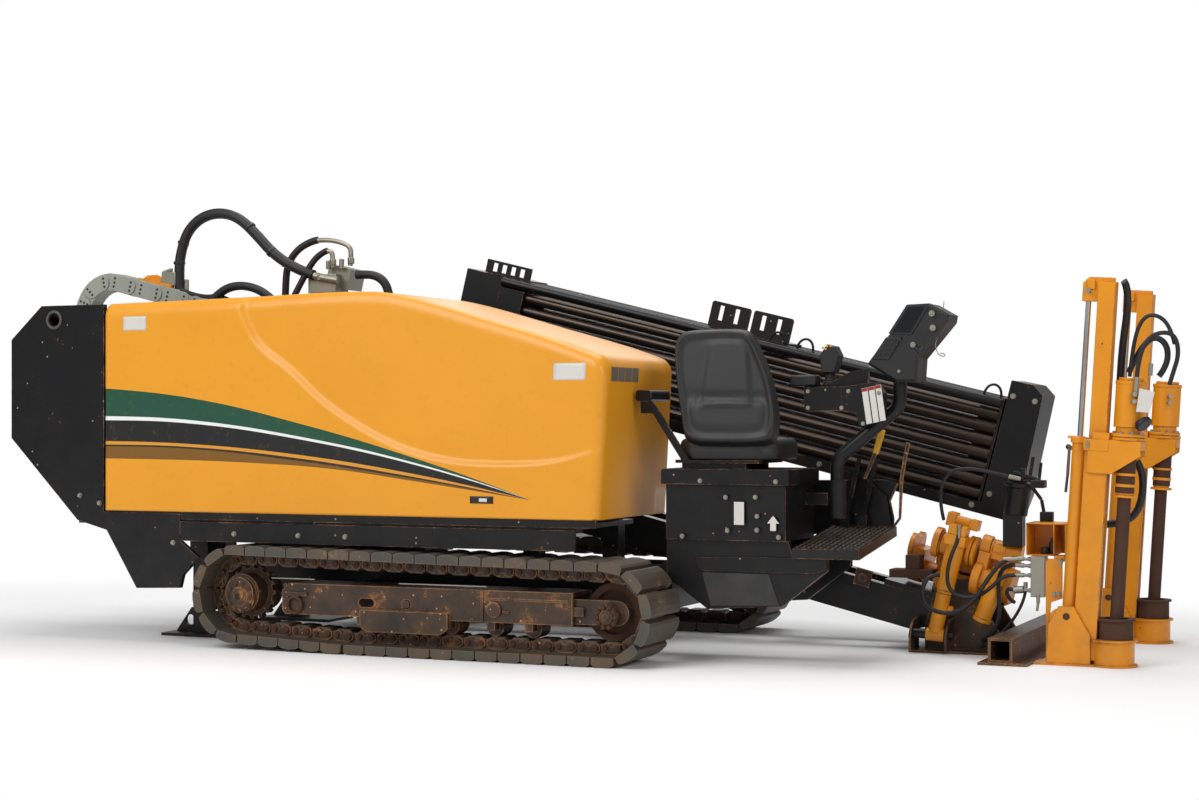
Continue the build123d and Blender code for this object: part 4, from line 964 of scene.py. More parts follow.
@dataclass
class Hood:
    """The moulded engine hood, with its pressed panel, latch and bare labels."""

    near_y: float = -1.092
    far_y: float = -0.192
    bottom: float = 0.712
    rear_x: float = -2.160
    front_x: float = 0.770
    front_lean: float = 0.054
    shoulder: float = 0.075
    nose: float = 0.06
    wall: float = 0.014
    stations: int = 200
    nose_steps: int = 7
    front_rings: int = 5
    film: float = 0.0008

    def roof(self, x: float) -> float:
        """Gives the roof's height, which falls to the front.

        Args:
            x: Where to read it.

        Returns:
            The height in metres.
        """
        line = [
            (-2.160, 1.844), (-1.237, 1.863), (-0.688, 1.876), (-0.390, 1.857),
            (0.185, 1.704), (0.519, 1.603), (0.823, 1.492),
        ]
        return between(line, x)

    def pressed(self, x: float, z: float) -> float:
        """Gives how far the near side is pressed in above the panel's curved step.

        Args:
            x: The place along the hood.
            z: Its height.

        Returns:
            The depth in metres.
        """
        step = [
            (-1.36, 1.95), (-1.30, 1.80), (-1.20, 1.62), (-1.0, 1.47), (-0.78, 1.29),
            (-0.51, 1.135), (-0.28, 1.045), (-0.04, 0.995), (0.19, 0.982), (0.45, 0.99),
            (0.62, 1.02), (0.85, 1.09),
        ]
        if x <= step[0][0]:
            return 0.0
        line = between(step, x)
        before = between(step, x - 0.02)
        slope = (line - before) / 0.02
        away = (z - line) / math.hypot(1.0, slope)
        fade = 1.0 - 0.75 * ease(x, 0.25, 0.8)
        return fade * (0.020 * ease(away, -0.012, 0.022) + 0.02 * ease(away, 0.0, 0.8))

    def section(self, x: float, inset: float) -> list[Vector]:
        """Gives one section's points, from the near bottom edge over the roof.

        Args:
            x: Where the section is taken.
            inset: How far the section lies inside the hood's own line.

        Returns:
            The section's points.
        """
        side_steps = 80
        arc_steps = 8
        roof_steps = 8
        top = self.roof(x) - inset
        near = self.near_y + inset
        radius = self.shoulder
        points = []
        for step in range(side_steps + 1):
            z = self.bottom + (top - radius - self.bottom) * step / side_steps
            points.append(Vector((x, near + self.pressed(x, z), z)))
        edge = self.pressed(x, top - radius)
        for step in range(1, arc_steps + 1):
            angle = math.pi / 2 * step / arc_steps
            points.append(
                Vector((
                    x,
                    near + edge * math.cos(angle) + radius * (1 - math.cos(angle)),
                    top - radius + radius * math.sin(angle),
                ))
            )
        for step in range(1, roof_steps + 1):
            share = step / roof_steps
            points.append(Vector((x, near + radius + (self.far_y - near - radius) * share, top)))
        for point in points:
            lean = self.front_lean * (point.z - self.bottom) * ease(x, 0.2, self.front_x)
            point.x += lean
        return points

    def shell(self) -> bpy.types.Object:
        """Makes the hood's shell.

        Returns:
            The finished object.
        """
        piece = Piece("hood_shell_panel", Finish.HOOD, "hood", "hood_shell", Matrix())
        straight = self.front_x - self.nose
        places = [
            (self.rear_x + (straight - self.rear_x) * i / self.stations, 0.0)
            for i in range(self.stations + 1)
        ]
        for step in range(1, self.nose_steps + 1):
            angle = math.pi / 2 * step / self.nose_steps
            places.append(
                (straight + self.nose * math.sin(angle), self.nose * (1 - math.cos(angle)))
            )
        rows = [[piece.mesh.verts.new(p) for p in self.section(x, d)] for x, d in places]
        piece.skin(rows)
        corner = Vector((self.front_x, self.far_y, self.bottom))
        edge = row = rows[-1]
        for step in range(1, self.front_rings):
            share = step / self.front_rings
            inner = [piece.mesh.verts.new(v.co.lerp(corner, share)) for v in edge]
            piece.skin([row, inner])
            row = inner
        tip = piece.mesh.verts.new(corner)
        for index in range(len(row) - 1):
            piece.mesh.faces.new((row[index], tip, row[index + 1]))
        made = piece.done()
        made.data.set_sharp_from_angle(angle=math.radians(60))
        thick = made.modifiers.new("wall", "SOLIDIFY")
        thick.thickness = self.wall
        thick.offset = -1.0
        return made

    def patch(self, name: str, finish: Finish, corner: tuple, size: tuple, out: float) -> None:
        """Makes a thin patch that follows the near side's surface.

        Args:
            name: The piece's name.
            finish: Its finish.
            corner: Its lowest rear corner as (x, z) in metres.
            size: Its length and height in metres.
            out: How far it stands out.
        """
        piece = Piece(name, finish, "hood", "moulded_plastic", Matrix())
        along_steps, up_steps = 8, 6
        rows = []
        for across in range(along_steps + 1):
            row = []
            for up in range(up_steps + 1):
                x = corner[0] + size[0] * across / along_steps
                z = corner[1] + size[1] * up / up_steps
                lean = self.front_lean * (z - self.bottom) * ease(x, 0.2, self.front_x)
                place = (x + lean, self.near_y + self.pressed(x, z) - out, z)
                row.append(piece.mesh.verts.new(place))
            rows.append(row)
        piece.skin(rows)
        made = piece.done()
        thick = made.modifiers.new("film", "SOLIDIFY")
        thick.thickness = self.film

    def build(self) -> None:
        """Makes the hood's pieces."""
        shell = self.shell()
        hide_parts("hood")
        self.patch("hood_label_rear", Finish.LABEL, (-2.045, 1.692), (0.15, 0.076), 0.0006)
        self.patch("hood_label_front", Finish.LABEL, (0.50, 1.405), (0.165, 0.085), 0.0006)
        self.patch("hood_latch_frame", Finish.ABS, (0.069, 0.786), (0.13, 0.036), 0.0025)
        self.patch("hood_latch_slot", Finish.LABEL, (0.120, 0.794), (0.045, 0.018), 0.0035)


@dataclass
class Seat:
    """The operator's moulded seat: a crowned cushion and a shell with a rolled rim."""

    back_frame: Matrix = field(
        default_factory=lambda: Matrix.Translation((1.305, -0.7024, 1.110))
        @ Matrix.Rotation(math.radians(90 - 6.84), 4, "X")
        @ GROUND
    )
    back_line: tuple = (
        (-196, -34), (-222, 90), (-254, 260), (-274, 400), (-274, 470), (-262, 520), (-222, 548),
        (-60, 553), (70, 552), (118, 534), (150, 490), (196, 396), (236, 300), (262, 200),
        (280, 90), (272, 10), (244, -34), (20, -38),
    )
    cushion_middle: tuple = (1290, -478)
    half_width: float = 270.0
    half_depth: float = 235.0
    squareness: float = 0.42
    cushion_sides: int = 72

    @staticmethod
    def rounded(line: list[tuple], passes: int = 2) -> list[tuple]:
        """Cuts an outline's corners until it is round.

        Args:
            line: The outline's (x, y) points.
            passes: How often its corners are cut.

        Returns:
            The rounder outline.
        """
        for _ in range(passes):
            cut = []
            for index, (x0, y0) in enumerate(line):
                x1, y1 = line[(index + 1) % len(line)]
                cut.append((x0 * 0.75 + x1 * 0.25, y0 * 0.75 + y1 * 0.25))
                cut.append((x0 * 0.25 + x1 * 0.75, y0 * 0.25 + y1 * 0.75))
            line = cut
        return line

    def shell_height(self, share: float, x: float, y: float) -> float:
        """Gives how far the shell's rear face stands out.

        Args:
            share: The ring's size as a share of the outline.
            x: The place across the back, in millimetres.
            y: The place up the back.

        Returns:
            The height over the back's flat face.
        """
        rim = 58 * (1 - ease(share, 0.9, 1.0) ** 2)
        dish = 12 * ease(share, 0.80, 0.9) - 12
        panel = 7 * (1 - ease(abs(x - 5) / (150 - 0.1 * y), 0.85, 1.1))
        panel *= 1 - ease(abs(y - 330), 150, 175)
        step = 9 * (1 - ease(y, 178, 190)) - 5 * (1 - ease(abs(y - 205), 18, 30))
        return rim + dish + (panel + step) * (1 - ease(share, 0.7, 0.85))

    def back(self) -> None:
        """Makes the back's shell with its rolled rim, pressed panel and crease."""
        piece = Piece("seat_back_shell", Finish.VINYL, "chassis", "seat_vinyl", self.back_frame)
        line = self.rounded([(x * 1.035 - 12, y * 1.01) for x, y in self.back_line])
        middle = Vector((sum(x for x, _ in line), sum(y for _, y in line))) / len(line)
        shares = [1.0, 1.0, 0.985, 0.965, 0.94, 0.91, 0.88, 0.85, 0.81, 0.76, 0.7]
        shares += [0.7 - 0.0388 * i for i in range(1, 18)]
        rows = []
        for index, share in enumerate(shares):
            row = []
            for x, y in line:
                px = middle.x + (x - middle.x) * share
                py = middle.y + (y - middle.y) * share
                height = 0.0 if index == 0 else self.shell_height(share, px, py)
                row.append(piece.mesh.verts.new((px, py, max(height, 2.0) if index else 0.0)))
            rows.append(row)
        piece.loft(rows)
        made = piece.done()
        made.data.set_sharp_from_angle(angle=math.radians(75))
        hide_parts("seat_back")

    def cushion(self) -> None:
        """Makes the crowned cushion, its sides pulled in between the corners."""
        piece = Piece("seat_cushion_pad", Finish.VINYL, "chassis", "seat_vinyl")
        line = []
        for index in range(self.cushion_sides):
            angle = 2 * math.pi * index / self.cushion_sides
            c, s = math.cos(angle), math.sin(angle)
            pull = 1 - 0.018 * math.cos(4 * angle) ** 2
            line.append((
                math.copysign(abs(c) ** self.squareness, c) * self.half_width * pull,
                math.copysign(abs(s) ** self.squareness, s) * self.half_depth * pull,
            ))
        levels = [
            (0.94, 1007.6), (0.985, 1012), (1.0, 1030), (1.0, 1058), (0.992, 1066), (0.998, 1074),
            (0.985, 1092), (0.955, 1106), (0.9, 1115), (0.86, 1116), (0.845, 1111), (0.83, 1116),
            (0.7, 1123), (0.5, 1127), (0.3, 1127), (0.1, 1126),
        ]
        mid_x, mid_y = self.cushion_middle
        rings = [
            [piece.mesh.verts.new((mid_x + x * share, mid_y + y * share, z)) for x, y in line]
            for share, z in levels
        ]
        piece.loft(rings)
        made = piece.done()
        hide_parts("seat_cushion")

    def build(self) -> None:
        """Makes the seat's pieces."""
        self.back()
        self.cushion()


@dataclass
class Console:
    """Display, joystick and blank plates of the swinging console, and the levers below."""

    near_y: float = -515.0
    plate_face: float = -540.6
    plate_film: float = 0.8

    def display(self) -> None:
        """Makes the display's screen, keypad, knobs, whip and wire loop."""
        y = self.near_y
        rim = Piece("display_rims", Finish.ABS, "console", "moulded_plastic")
        for corners in (
            ((2082, 1633), (2175, 1774), (2294, 1778), (2197, 1624)),
            ((1996, 1508), (2070, 1615), (2152, 1619), (2084, 1505)),
        ):
            rim.plate(corners, y, -7)
        rim.done(0.003)
        screen = Piece("display_screen", Finish.GLASS, "console", "moulded_plastic")
        screen.plate(((2104, 1641), (2183, 1760), (2268, 1762), (2192, 1635)), y - 7, -1.5)
        screen.done()
        keys = Piece("display_keys", Finish.RUBBER, "console", "moulded_plastic")
        for column in range(3):
            for row in range(4):
                x = 2026 + column * 27 + row * 16.5
                z = 1524 + row * 24
                keys.box((x, y - 11, z), (x + 19, y - 7, z + 14))
        keys.done(0.002)
        knobs = Piece("display_knobs", Finish.ZINC, "console", "grey_steel")
        for x, z, radius, out in (
            (2302, 1727, 15, 16), (2307, 1657, 15, 16), (2208, 1576, 14, 14), (2136, 1447, 8, 8),
        ):
            knobs.rod((x, y, z), (x, y - out, z), radius, 20)
            knobs.rod((x, y - out, z), (x, y - out - 5, z), radius * 0.5, 12)
        knobs.rod((2339, -450, 1735), (2344, -450, 1790), 2.5, 8)
        knobs.done(0.001)
        wing = Piece("display_wing_nut", Finish.ABS, "console", "moulded_plastic")
        wing.rod((2244, y, 1548), (2244, y - 24, 1548), 12, 12)
        for turn in range(3):
            angle = 0.6 + turn * 2 * math.pi / 3
            tip = Vector((2244 + 24 * math.cos(angle), y - 20, 1548 + 24 * math.sin(angle)))
            wing.rod((2244, y - 20, 1548), tip, 8, 10)
        wing.done(0.002)
        loop = [(2318, -450, 1700), (2330, -455, 1640), (2300, -460, 1590), (2310, -465, 1545)]
        loop += [(2328, -467, 1522), (2352, -467, 1518), (2352, -467, 1534), (2330, -467, 1534)]
        hose("display_wire_loop", loop, 2.5, "console", Finish.ZINC)

    def joystick(self) -> None:
        """Makes the joystick's ribbed boot, its buttons and the pad beside it."""
        boot = Piece("joystick_boot", Finish.RUBBER, "console", "moulded_plastic")
        for step in range(6):
            low = 1373 + step * 11.5
            boot.rod((1750, -400, low), (1750, -400, low + 6), 50 - step * 4.4, 20, 46 - step * 4.4)
            boot.rod((1750, -400, low + 6), (1750, -400, low + 11.5), 40 - step * 3.6, 20)
        boot.done()
        buttons = Piece("joystick_buttons", Finish.GRIP, "console", "moulded_plastic")
        for x, z in ((1722, 1575), (1744, 1582), (1764, 1583), (1737, 1568)):
            buttons.rod((x, -437, z - 6), (x - 1, -441, z - 4), 6, 12)
        buttons.done()
        pad = Piece("arm_pad", Finish.RUBBER, "console", "moulded_plastic")
        pad.box((1572, -512, 1376), (1706, -420, 1432))
        pad.box((1640, -490, 1360), (1700, -440, 1380))
        pad.done(0.018, segments=4)

    def plates(self) -> None:
        """Makes the three bare plates on the side panel, each with a red head."""
        y, film = self.plate_face, self.plate_film
        wide, lean, drop = 29, 26, 176
        white = Piece("console_plates", Finish.LABEL, "console", "moulded_plastic")
        red = Piece("console_plate_heads", Finish.RED, "console", "moulded_plastic")
        for left, top in ((1952, 1362), (1987, 1369), (2021, 1377)):
            plate = (
                (left, top), (left + wide, top + 6), (left + wide + lean, top + 6 - drop),
                (left + lean, top - drop),
            )
            white.plate(plate, y, -film)
            head = (
                (left + 1, top - 1), (left + 28, top + 4.5), (left + 30, top - 12),
                (left + 3, top - 17),
            )
            red.plate(head, y - film, -0.4)
        white.done()
        red.done()
        bolts = Piece("console_bolts", Finish.ZINC, "console", "grey_steel")
        for x, z in (
            (1676, 1268), (1676, 1350), (1850, 1268), (1885, 1350), (1960, 1190), (2040, 1340),
        ):
            bolts.bolt((x, -540.3, z), (0, -1, 0), 15)
        bolts.done()

    def levers(self) -> None:
        """Makes the yellow grip, the levers' plates and the brackets at the platform."""
        grip = Piece("lever_grip", Finish.GRIP, "chassis", "yellow_paint")
        grip.plate(((1937, 1160), (1968, 1153), (1930, 1030), (1902, 1038)), -176, 26)
        grip.done(0.006, segments=3)
        bars = Piece("lever_bars", Finish.SCRAPED, "chassis", "black_paint")
        bars.plate(((1905, 1040), (1927, 1035), (1868, 905), (1852, 905)), -168, 10)
        bars.plate((
            (2072, 1094), (2092, 1088), (2074, 1010), (2056, 905), (2044, 700), (2032, 700),
            (2038, 905), (2056, 1012),
        ), -146, 10)
        bars.rod((2038, -141, 706), (1998, -141, 652), 7, 10)
        bars.done(0.001)

    def build(self) -> None:
        """Makes the console's pieces."""
        self.display()
        self.joystick()
        self.plates()
        self.levers()


@dataclass
class Vises:
    """Drums, cylinders, valve block and hoses of the vises at the rack's front."""

    clamp_axis: tuple = (-205, 187)
    low_axis: tuple = (-205, 62)
    front_axis: tuple = (-175, 232)
    lug_axis: tuple = (-248, 327)
    breakout_axis: tuple = (-126, -318)
    guard_face: float = -56.0

    def yellow(self) -> None:
        """Makes the drums, their blocks and the lug tube, in the rack's frame."""
        piece = Piece("vise_drums", Finish.YELLOW, "rack", "yellow_paint", RACK)
        # Each axis's y and z, with starts and ends along the rack and radii
        turned = (
            (self.clamp_axis, (
                (-222, -70, 58), (-262, -228, 79), (-228, -221, 70), (-78, -58, 79),
                (-58, -52, 66), (-52, -34, 80),
            )),
            (self.low_axis, (
                (-4, 165, 60), (-22, 22, 85), (128, 148, 80), (148, 154, 68), (154, 190, 92),
            )),
            (self.front_axis, ((-22, 30, 56), (30, 44, 44), (44, 112, 46), (112, 190, 52))),
            (self.lug_axis, ((-206, -50, 27),)),
        )
        for (y, z), steps in turned:
            for start, end, radius in steps:
                piece.rod((start, y, z), (end, y, z), radius, 40)
        # Low and high corners of the cast blocks between them
        blocks = (
            ((-205, -205, 110), (-95, -60, 205)),
            ((-215, -276, 292), (-168, -190, 362)),
            ((-92, -276, 298), (-46, -200, 352)),
            ((-170, -262, 180), (-110, -205, 345)),
            ((-40, -150, 40), (150, -60, 200)),
            ((-20, -235, 110), (40, -150, 205)),
            ((30, -215, 176), (140, -120, 262)),
            ((-165, -110, 40), (150, 110, 118)),
            ((-165, -110, -60), (150, 110, -42)),
            ((-165, -110, -60), (150, -42, 60)),
            ((-165, 42, -60), (150, 110, 60)),
            ((40, -250, -10), (110, -150, 60)),
        )
        for low, high in blocks:
            piece.box(low, high)
        piece.done(0.006, segments=3)

    def breakout(self) -> None:
        """Makes the leaning breakout cylinder, from its lug down to the eye on its bar."""
        barrel = Piece("breakout_cylinder", Finish.YELLOW, "rack", "yellow_paint", RACK)
        x, y = self.breakout_axis
        barrel.rod((x, y, -30), (x, y, 232), 46, 36)
        barrel.box((x - 56, y - 46, 206), (x + 52, y + 60, 262))
        barrel.box((x - 48, y - 44, 262), (x + 44, y + 60, 312))
        barrel.rod((x, y, -48), (x, y, -30), 40, 36)
        barrel.rod((x + 3, y, -256), (x, y, -50), 38, 36)
        barrel.rod((x + 3, y - 34, -274), (x + 3, y + 34, -274), 4, 12)
        barrel.rod((x + 38, y, -120), (x + 66, y, -120), 17, 20)
        barrel.rod((x - 64, y, 30), (x - 40, y, 30), 14, 16)
        barrel.done(0.004)
        eye = Piece("breakout_eye", Finish.YELLOW, "rack", "yellow_paint")
        eye.rod((2118, 82, 100), (2216, 82, 94), 34, 28)
        eye.done(0.003)
        bar = Piece("breakout_bar", Finish.BLACK, "rack", "black_paint")
        bar.rod((2048, 82, 103), (2118, 82, 100), 26, 24)
        bar.rod((2216, 82, 94), (2262, 82, 92), 22, 24)
        bar.done(0.002)
        cheeks = Piece("breakout_cheeks", Finish.SCRAPED, "rack", "rusty_steel")
        profile = ((30, 12), (30, 96), (60, 140), (106, 170), (205, 178), (205, 12))
        for left in (2036, 2224):
            cheeks.slab([(left, y, z) for y, z in profile], Vector((12, 0, 0)))
        cheeks.done(0.002)

    def lower(self) -> None:
        """Makes the second cylinder that hangs under the front vise."""
        piece = Piece("clamp_cylinder", Finish.YELLOW, "rack", "yellow_paint")
        piece.rod((2466, 110, 350), (2405, 110, 190), 44, 36)
        piece.rod((2472, 110, 366), (2466, 110, 350), 38, 36)
        piece.rod((2500, 110, 440), (2472, 110, 366), 42, 36)
        piece.rod((2405, 110, 190), (2398, 110, 172), 48, 36)
        piece.rod((2372, 92, 205), (2400, 100, 200), 20, 16)
        piece.done(0.003)

    def valves(self) -> None:
        """Makes the grey valve block, its fittings and the yellow guard round it."""
        block = Piece("valve_block", Finish.ZINC, "rack", "grey_steel")
        block.box((2683, -42, 318), (2753, 48, 524))
        for z in (506, 472, 424, 348):
            block.rod((2683, 0, z), (2664, 0, z), 12, 6)
            block.rod((2664, 0, z), (2640, 0, z), 8.5, 16)
        block.rod((2640, 0, 352), (2590, 0, 348), 19, 20)
        block.rod((2650, 0, 390), (2650, 0, 358), 11, 12)
        block.rod((2722, -42, 290), (2722, -42, 330), 10, 12)
        block.rod((2716, -42, 250), (2722, -42, 290), 7, 12)
        block.done(0.002)
        guard = Piece("valve_guard", Finish.YELLOW, "rack", "yellow_paint")
        guard.box((2660, -40, 684), (2860, 170, 690))
        guard.box((2660, 150, 530), (2860, 156, 684))
        guard.box((2796, -40, 530), (2802, 156, 684))
        guard.box((2854, -40, 516), (2860, 156, 684))
        guard.box((2660, -40, 530), (2666, 156, 684))
        guard.box((2666, -36, 526), (2796, 156, 532))
        guard.plate((
            (2762, 10), (2762, 500), (2774, 515), (2846, 515), (2846, 318), (2790, 296),
            (2780, 200), (2780, 10),
        ), self.guard_face, 6)
        guard.box((2802, -50, 500), (2854, 40, 530))
        guard.done(0.0015)
        bolts = Piece("valve_guard_bolts", Finish.ZINC, "rack", "grey_steel")
        for x, z in ((2836, 498), (2826, 340), (2806, 338)):
            bolts.bolt((x, self.guard_face, z), (0, -1, 0), 18)
        bolts.done()
        jar = Piece("grease_jars", Finish.ABS, "rack", "moulded_plastic")
        jar.rod((2740, 40, 532), (2740, 40, 566), 20, 20)
        jar.rod((2772, 60, 532), (2772, 60, 590), 16, 20)
        jar.rod((2772, 60, 590), (2772, 60, 612), 9, 16)
        jar.done(0.003)

    def hoses(self) -> None:
        """Makes the hoses from the valve block to the cylinders."""
        runs = (
            ("vise_hose_head", 10.0, (
                (2300, 40, 634), (2296, 34, 590), (2266, 18, 520), (2244, 8, 430), (2252, 0, 350),
                (2300, -6, 306), (2390, -8, 300), (2460, -6, 340), (2530, -2, 414), (2590, 0, 424),
                (2642, 0, 424),
            )),
            ("vise_hose_low", 11.5, (
                (2196, 60, 408), (2152, 30, 410), (2116, 0, 350), (2128, -24, 270), (2190, -34, 226),
                (2290, -36, 218), (2390, -30, 280), (2460, -20, 400), (2530, -8, 492), (2600, 0, 512),
                (2642, 0, 508),
            )),
            ("vise_hose_back", 11.0, (
                (2642, 0, 472), (2590, 10, 478), (2530, 30, 460), (2500, 50, 400), (2498, 70, 330),
                (2500, 84, 200), (2460, 100, 100), (2400, 140, 70),
            )),
            ("vise_hose_front", 8.0, (
                (2650, 0, 344), (2640, 10, 300), (2600, 20, 220), (2540, 30, 140), (2470, 60, 90),
                (2400, 120, 40),
            )),
            ("vise_hose_side", 10.0, (
                (2590, 0, 348), (2560, 10, 356), (2548, 20, 330), (2562, 40, 296), (2575, 80, 280),
            )),
            ("rack_hose_arc", 9.0, (
                (2200, 120, 690), (2190, 90, 760), (2200, 60, 880), (2260, 50, 950), (2350, 60, 960),
                (2450, 90, 940), (2540, 110, 918),
            )),
        )
        for name, radius, points in runs:
            hose(name, list(points), radius, "rack")
        ends = Piece("vise_hose_ends", Finish.ZINC, "rack", "grey_steel")
        ends.rod((2301, 42, 660), (2299, 38, 600), 12, 14)
        ends.rod((2302, 44, 668), (2301, 42, 650), 16, 6)
        ends.rod((2540, -4, 500), (2642, 0, 509), 13, 14)
        ends.rod((2600, 2, 424), (2642, 0, 424), 12, 14)
        ends.rod((2600, 2, 476), (2642, 0, 472), 12, 14)
        ends.rod((2196, 60, 408), (2226, 70, 398), 15, 14)
        ends.rod((2540, 110, 918), (2600, 120, 905), 12, 14)
        ends.done()

    def stack(self) -> None:
        """Makes the black pot and the linkage that stand behind the vises."""
        pot = Piece("thread_pot", Finish.BLACK, "rack", "black_paint")
        pot.rod((2558, 180, 720), (2580, 180, 860), 62, 28)
        pot.rod((2580, 180, 860), (2584, 180, 884), 74, 28)
        pot.rod((2590, 180, 890), (2600, 180, 930), 30, 20)
        pot.box((2540, 130, 890), (2680, 200, 908))
        pot.box((2600, 120, 900), (2620, 160, 960))
        pot.box((2500, 150, 556), (2600, 240, 724))
        pot.rod((2560, 130, 940), (2690, 130, 900), 10, 12)
        pot.rod((2640, 140, 900), (2660, 140, 1020), 9, 12)
        pot.box((2650, 110, 860), (2720, 190, 900))
        pot.rod((2690, 140, 900), (2700, 140, 990), 8, 12)
        pot.rod((2640, 150, 880), (2700, 150, 800), 9, 12)
        pot.rod((2700, 150, 800), (2720, 150, 692), 9, 12)
        pot.box((2696, 120, 690), (2760, 170, 740))
        pot.done(0.004)
        link = Piece("mast_link", Finish.SCRAPED, "rack", "black_paint")
        link.rod((2752, 620, 1060), (2872, -60, 935), 8, 12)
        link.rod((2742, 640, 1064), (2756, 610, 1058), 15, 12)
        link.rod((2872, -60, 935), (2868, -90, 850), 7, 12)
        link.done(0.001)

    def build(self) -> None:
        """Makes the vises' pieces."""
        self.yellow()
        self.breakout()
        self.lower()
        self.valves()
        self.hoses()
        self.stack()


@dataclass
class Carriage:
    """Hoses, fittings and motors of the sliding carriage."""

    motor_offset: float = 88.0
    motor_height: float = 120.0
    flange_x: float = -3930.0
    bolt_circle: float = 96.0

    def hoses(self) -> None:
        """Makes the sleeved hoses that loop from the chain over to the manifold."""
        thick = [
            (-2552, 180, 1950), (-2560, 180, 2120), (-2545, 186, 2240), (-2500, 192, 2360),
            (-2400, 200, 2440), (-2270, 205, 2460), (-2140, 210, 2420), (-2020, 215, 2310),
            (-1930, 220, 2215), (-1840, 225, 2150), (-1720, 230, 2090), (-1640, 232, 2065),
        ]
        sleeve = hose("carriage_hose_sleeve", thick, 32, "carriage")
        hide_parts("carriage_hoses")
        hose("carriage_hose_core", [
            (-1860, 224, 2162), (-1760, 228, 2112), (-1690, 231, 2080), (-1600, 236, 2050),
            (-1480, 240, 2030),
        ], 23, "carriage", Finish.ZINC)
        runs = (
            ("carriage_hose_mid", 22.0, (
                (-1880, 300, 1880), (-1870, 290, 2060), (-1850, 290, 2150), (-1790, 300, 2230),
                (-1700, 310, 2275), (-1660, 312, 2280),
            )),
            ("carriage_hose_front", 19.0, (
                (-1780, 200, 1900), (-1710, 220, 2040), (-1650, 240, 2150), (-1590, 250, 2200),
                (-1556, 252, 2210),
            )),
            ("carriage_hose_low", 26.0, (
                (-2300, 60, 1860), (-2210, 70, 1960), (-2090, 80, 2010), (-1950, 90, 1990),
                (-1850, 110, 1920), (-1790, 130, 1850),
            )),
            ("carriage_hose_rear", 26.0, (
                (-1340, 220, 2056), (-1250, 220, 2062), (-1170, 225, 2030), (-1130, 230, 1960),
                (-1120, 235, 1860),
            )),
            ("carriage_hose_return", 15.0, (
                (-2500, 120, 1990), (-2420, 110, 1960), (-2300, 100, 1940), (-2200, 90, 1950),
                (-2100, 90, 1900),
            )),
        )
        for name, radius, points in runs:
            hose(name, list(points), radius, "carriage")
        elbows = (
            ("carriage_elbow_top", 15.0, (
                (-1690, 311, 2276), (-1600, 314, 2282), (-1500, 316, 2262), (-1440, 316, 2235),
                (-1432, 316, 2180), (-1440, 316, 2120),
            )),
            ("carriage_elbow_low", 15.0, (
                (-1580, 250, 2200), (-1540, 252, 2214), (-1520, 254, 2180), (-1524, 256, 2110),
            )),
        )
        for name, radius, points in elbows:
            hose(name, list(points), radius, "carriage", Finish.ZINC)

    def fittings(self) -> None:
        """Makes the manifold's plugs, collars, clamps and the upright tube."""
        steel = Piece("carriage_fittings", Finish.ZINC, "carriage", "grey_steel")
        steel.rod((-2560, 180, 1860), (-2556, 180, 2090), 22, 24)
        steel.rod((-2520, 200, 1860), (-2518, 200, 2060), 16, 20)
        for x, y, z, radius in (
            (-1434, 316, 2150, 21), (-1522, 254, 2140, 21), (-1600, 236, 2050, 27),
        ):
            steel.rod((x, y, z - 18), (x, y, z + 18), radius, 6)
        steel.rod((-1560, 270, 2100), (-1560, 270, 2150), 17, 6)
        steel.rod((-1480, 280, 2100), (-1476, 280, 2160), 15, 16)
        steel.box((-1690, 250, 1960), (-1500, 400, 2070))
        steel.done(0.003)
        ties = Piece("carriage_hose_ties", Finish.ABS, "carriage", "moulded_plastic")
        for place, way, radius in (
            ((-2556, 181, 2160), (0, 0, 1), 36), ((-2532, 188, 2280), (0.3, 0, 1), 35),
            ((-2070, 212, 2362), (0.8, 0, -0.75), 35), ((-1925, 220, 2212), (0.8, 0, -0.65), 35),
            ((-1868, 291, 2130), (0.2, 0, 1), 25),
        ):
            along = Vector(way).normalized() * 9
            middle = Vector(place)
            ties.rod(middle - along, middle + along, radius, 24)
        ties.done(0.002)

    def gearbox(self) -> None:
        """Makes the rounded gearbox ends and motors on the carriage, in the rack's frame."""
        motors = Piece("carriage_motors", Finish.BLACK, "carriage", "black_paint", RACK)
        z = self.motor_height
        for y in (-self.motor_offset, self.motor_offset):
            motors.rod((-4560, y, z), (-4400, y, z), 66, 28)
            motors.rod((-4590, y, z), (-4560, y, z), 50, 28)
        motors.rod((self.flange_x - 20, 0, 0), (self.flange_x, 0, 0), 110, 32)
        motors.rod((-4400, 0, 230), (-4280, 0, 230), 58, 24)
        motors.done(0.005)
        bolts = Piece("carriage_bolts", Finish.ZINC, "carriage", "grey_steel", RACK)
        for turn in range(10):
            angle = turn * math.pi / 5
            y, z = self.bolt_circle * math.cos(angle), self.bolt_circle * math.sin(angle)
            bolts.bolt((self.flange_x, y, z), (1, 0, 0), 20)
        bolts.done()

    def build(self) -> None:
        """Makes the carriage's pieces."""
        self.hoses()
        self.fittings()
        self.gearbox()


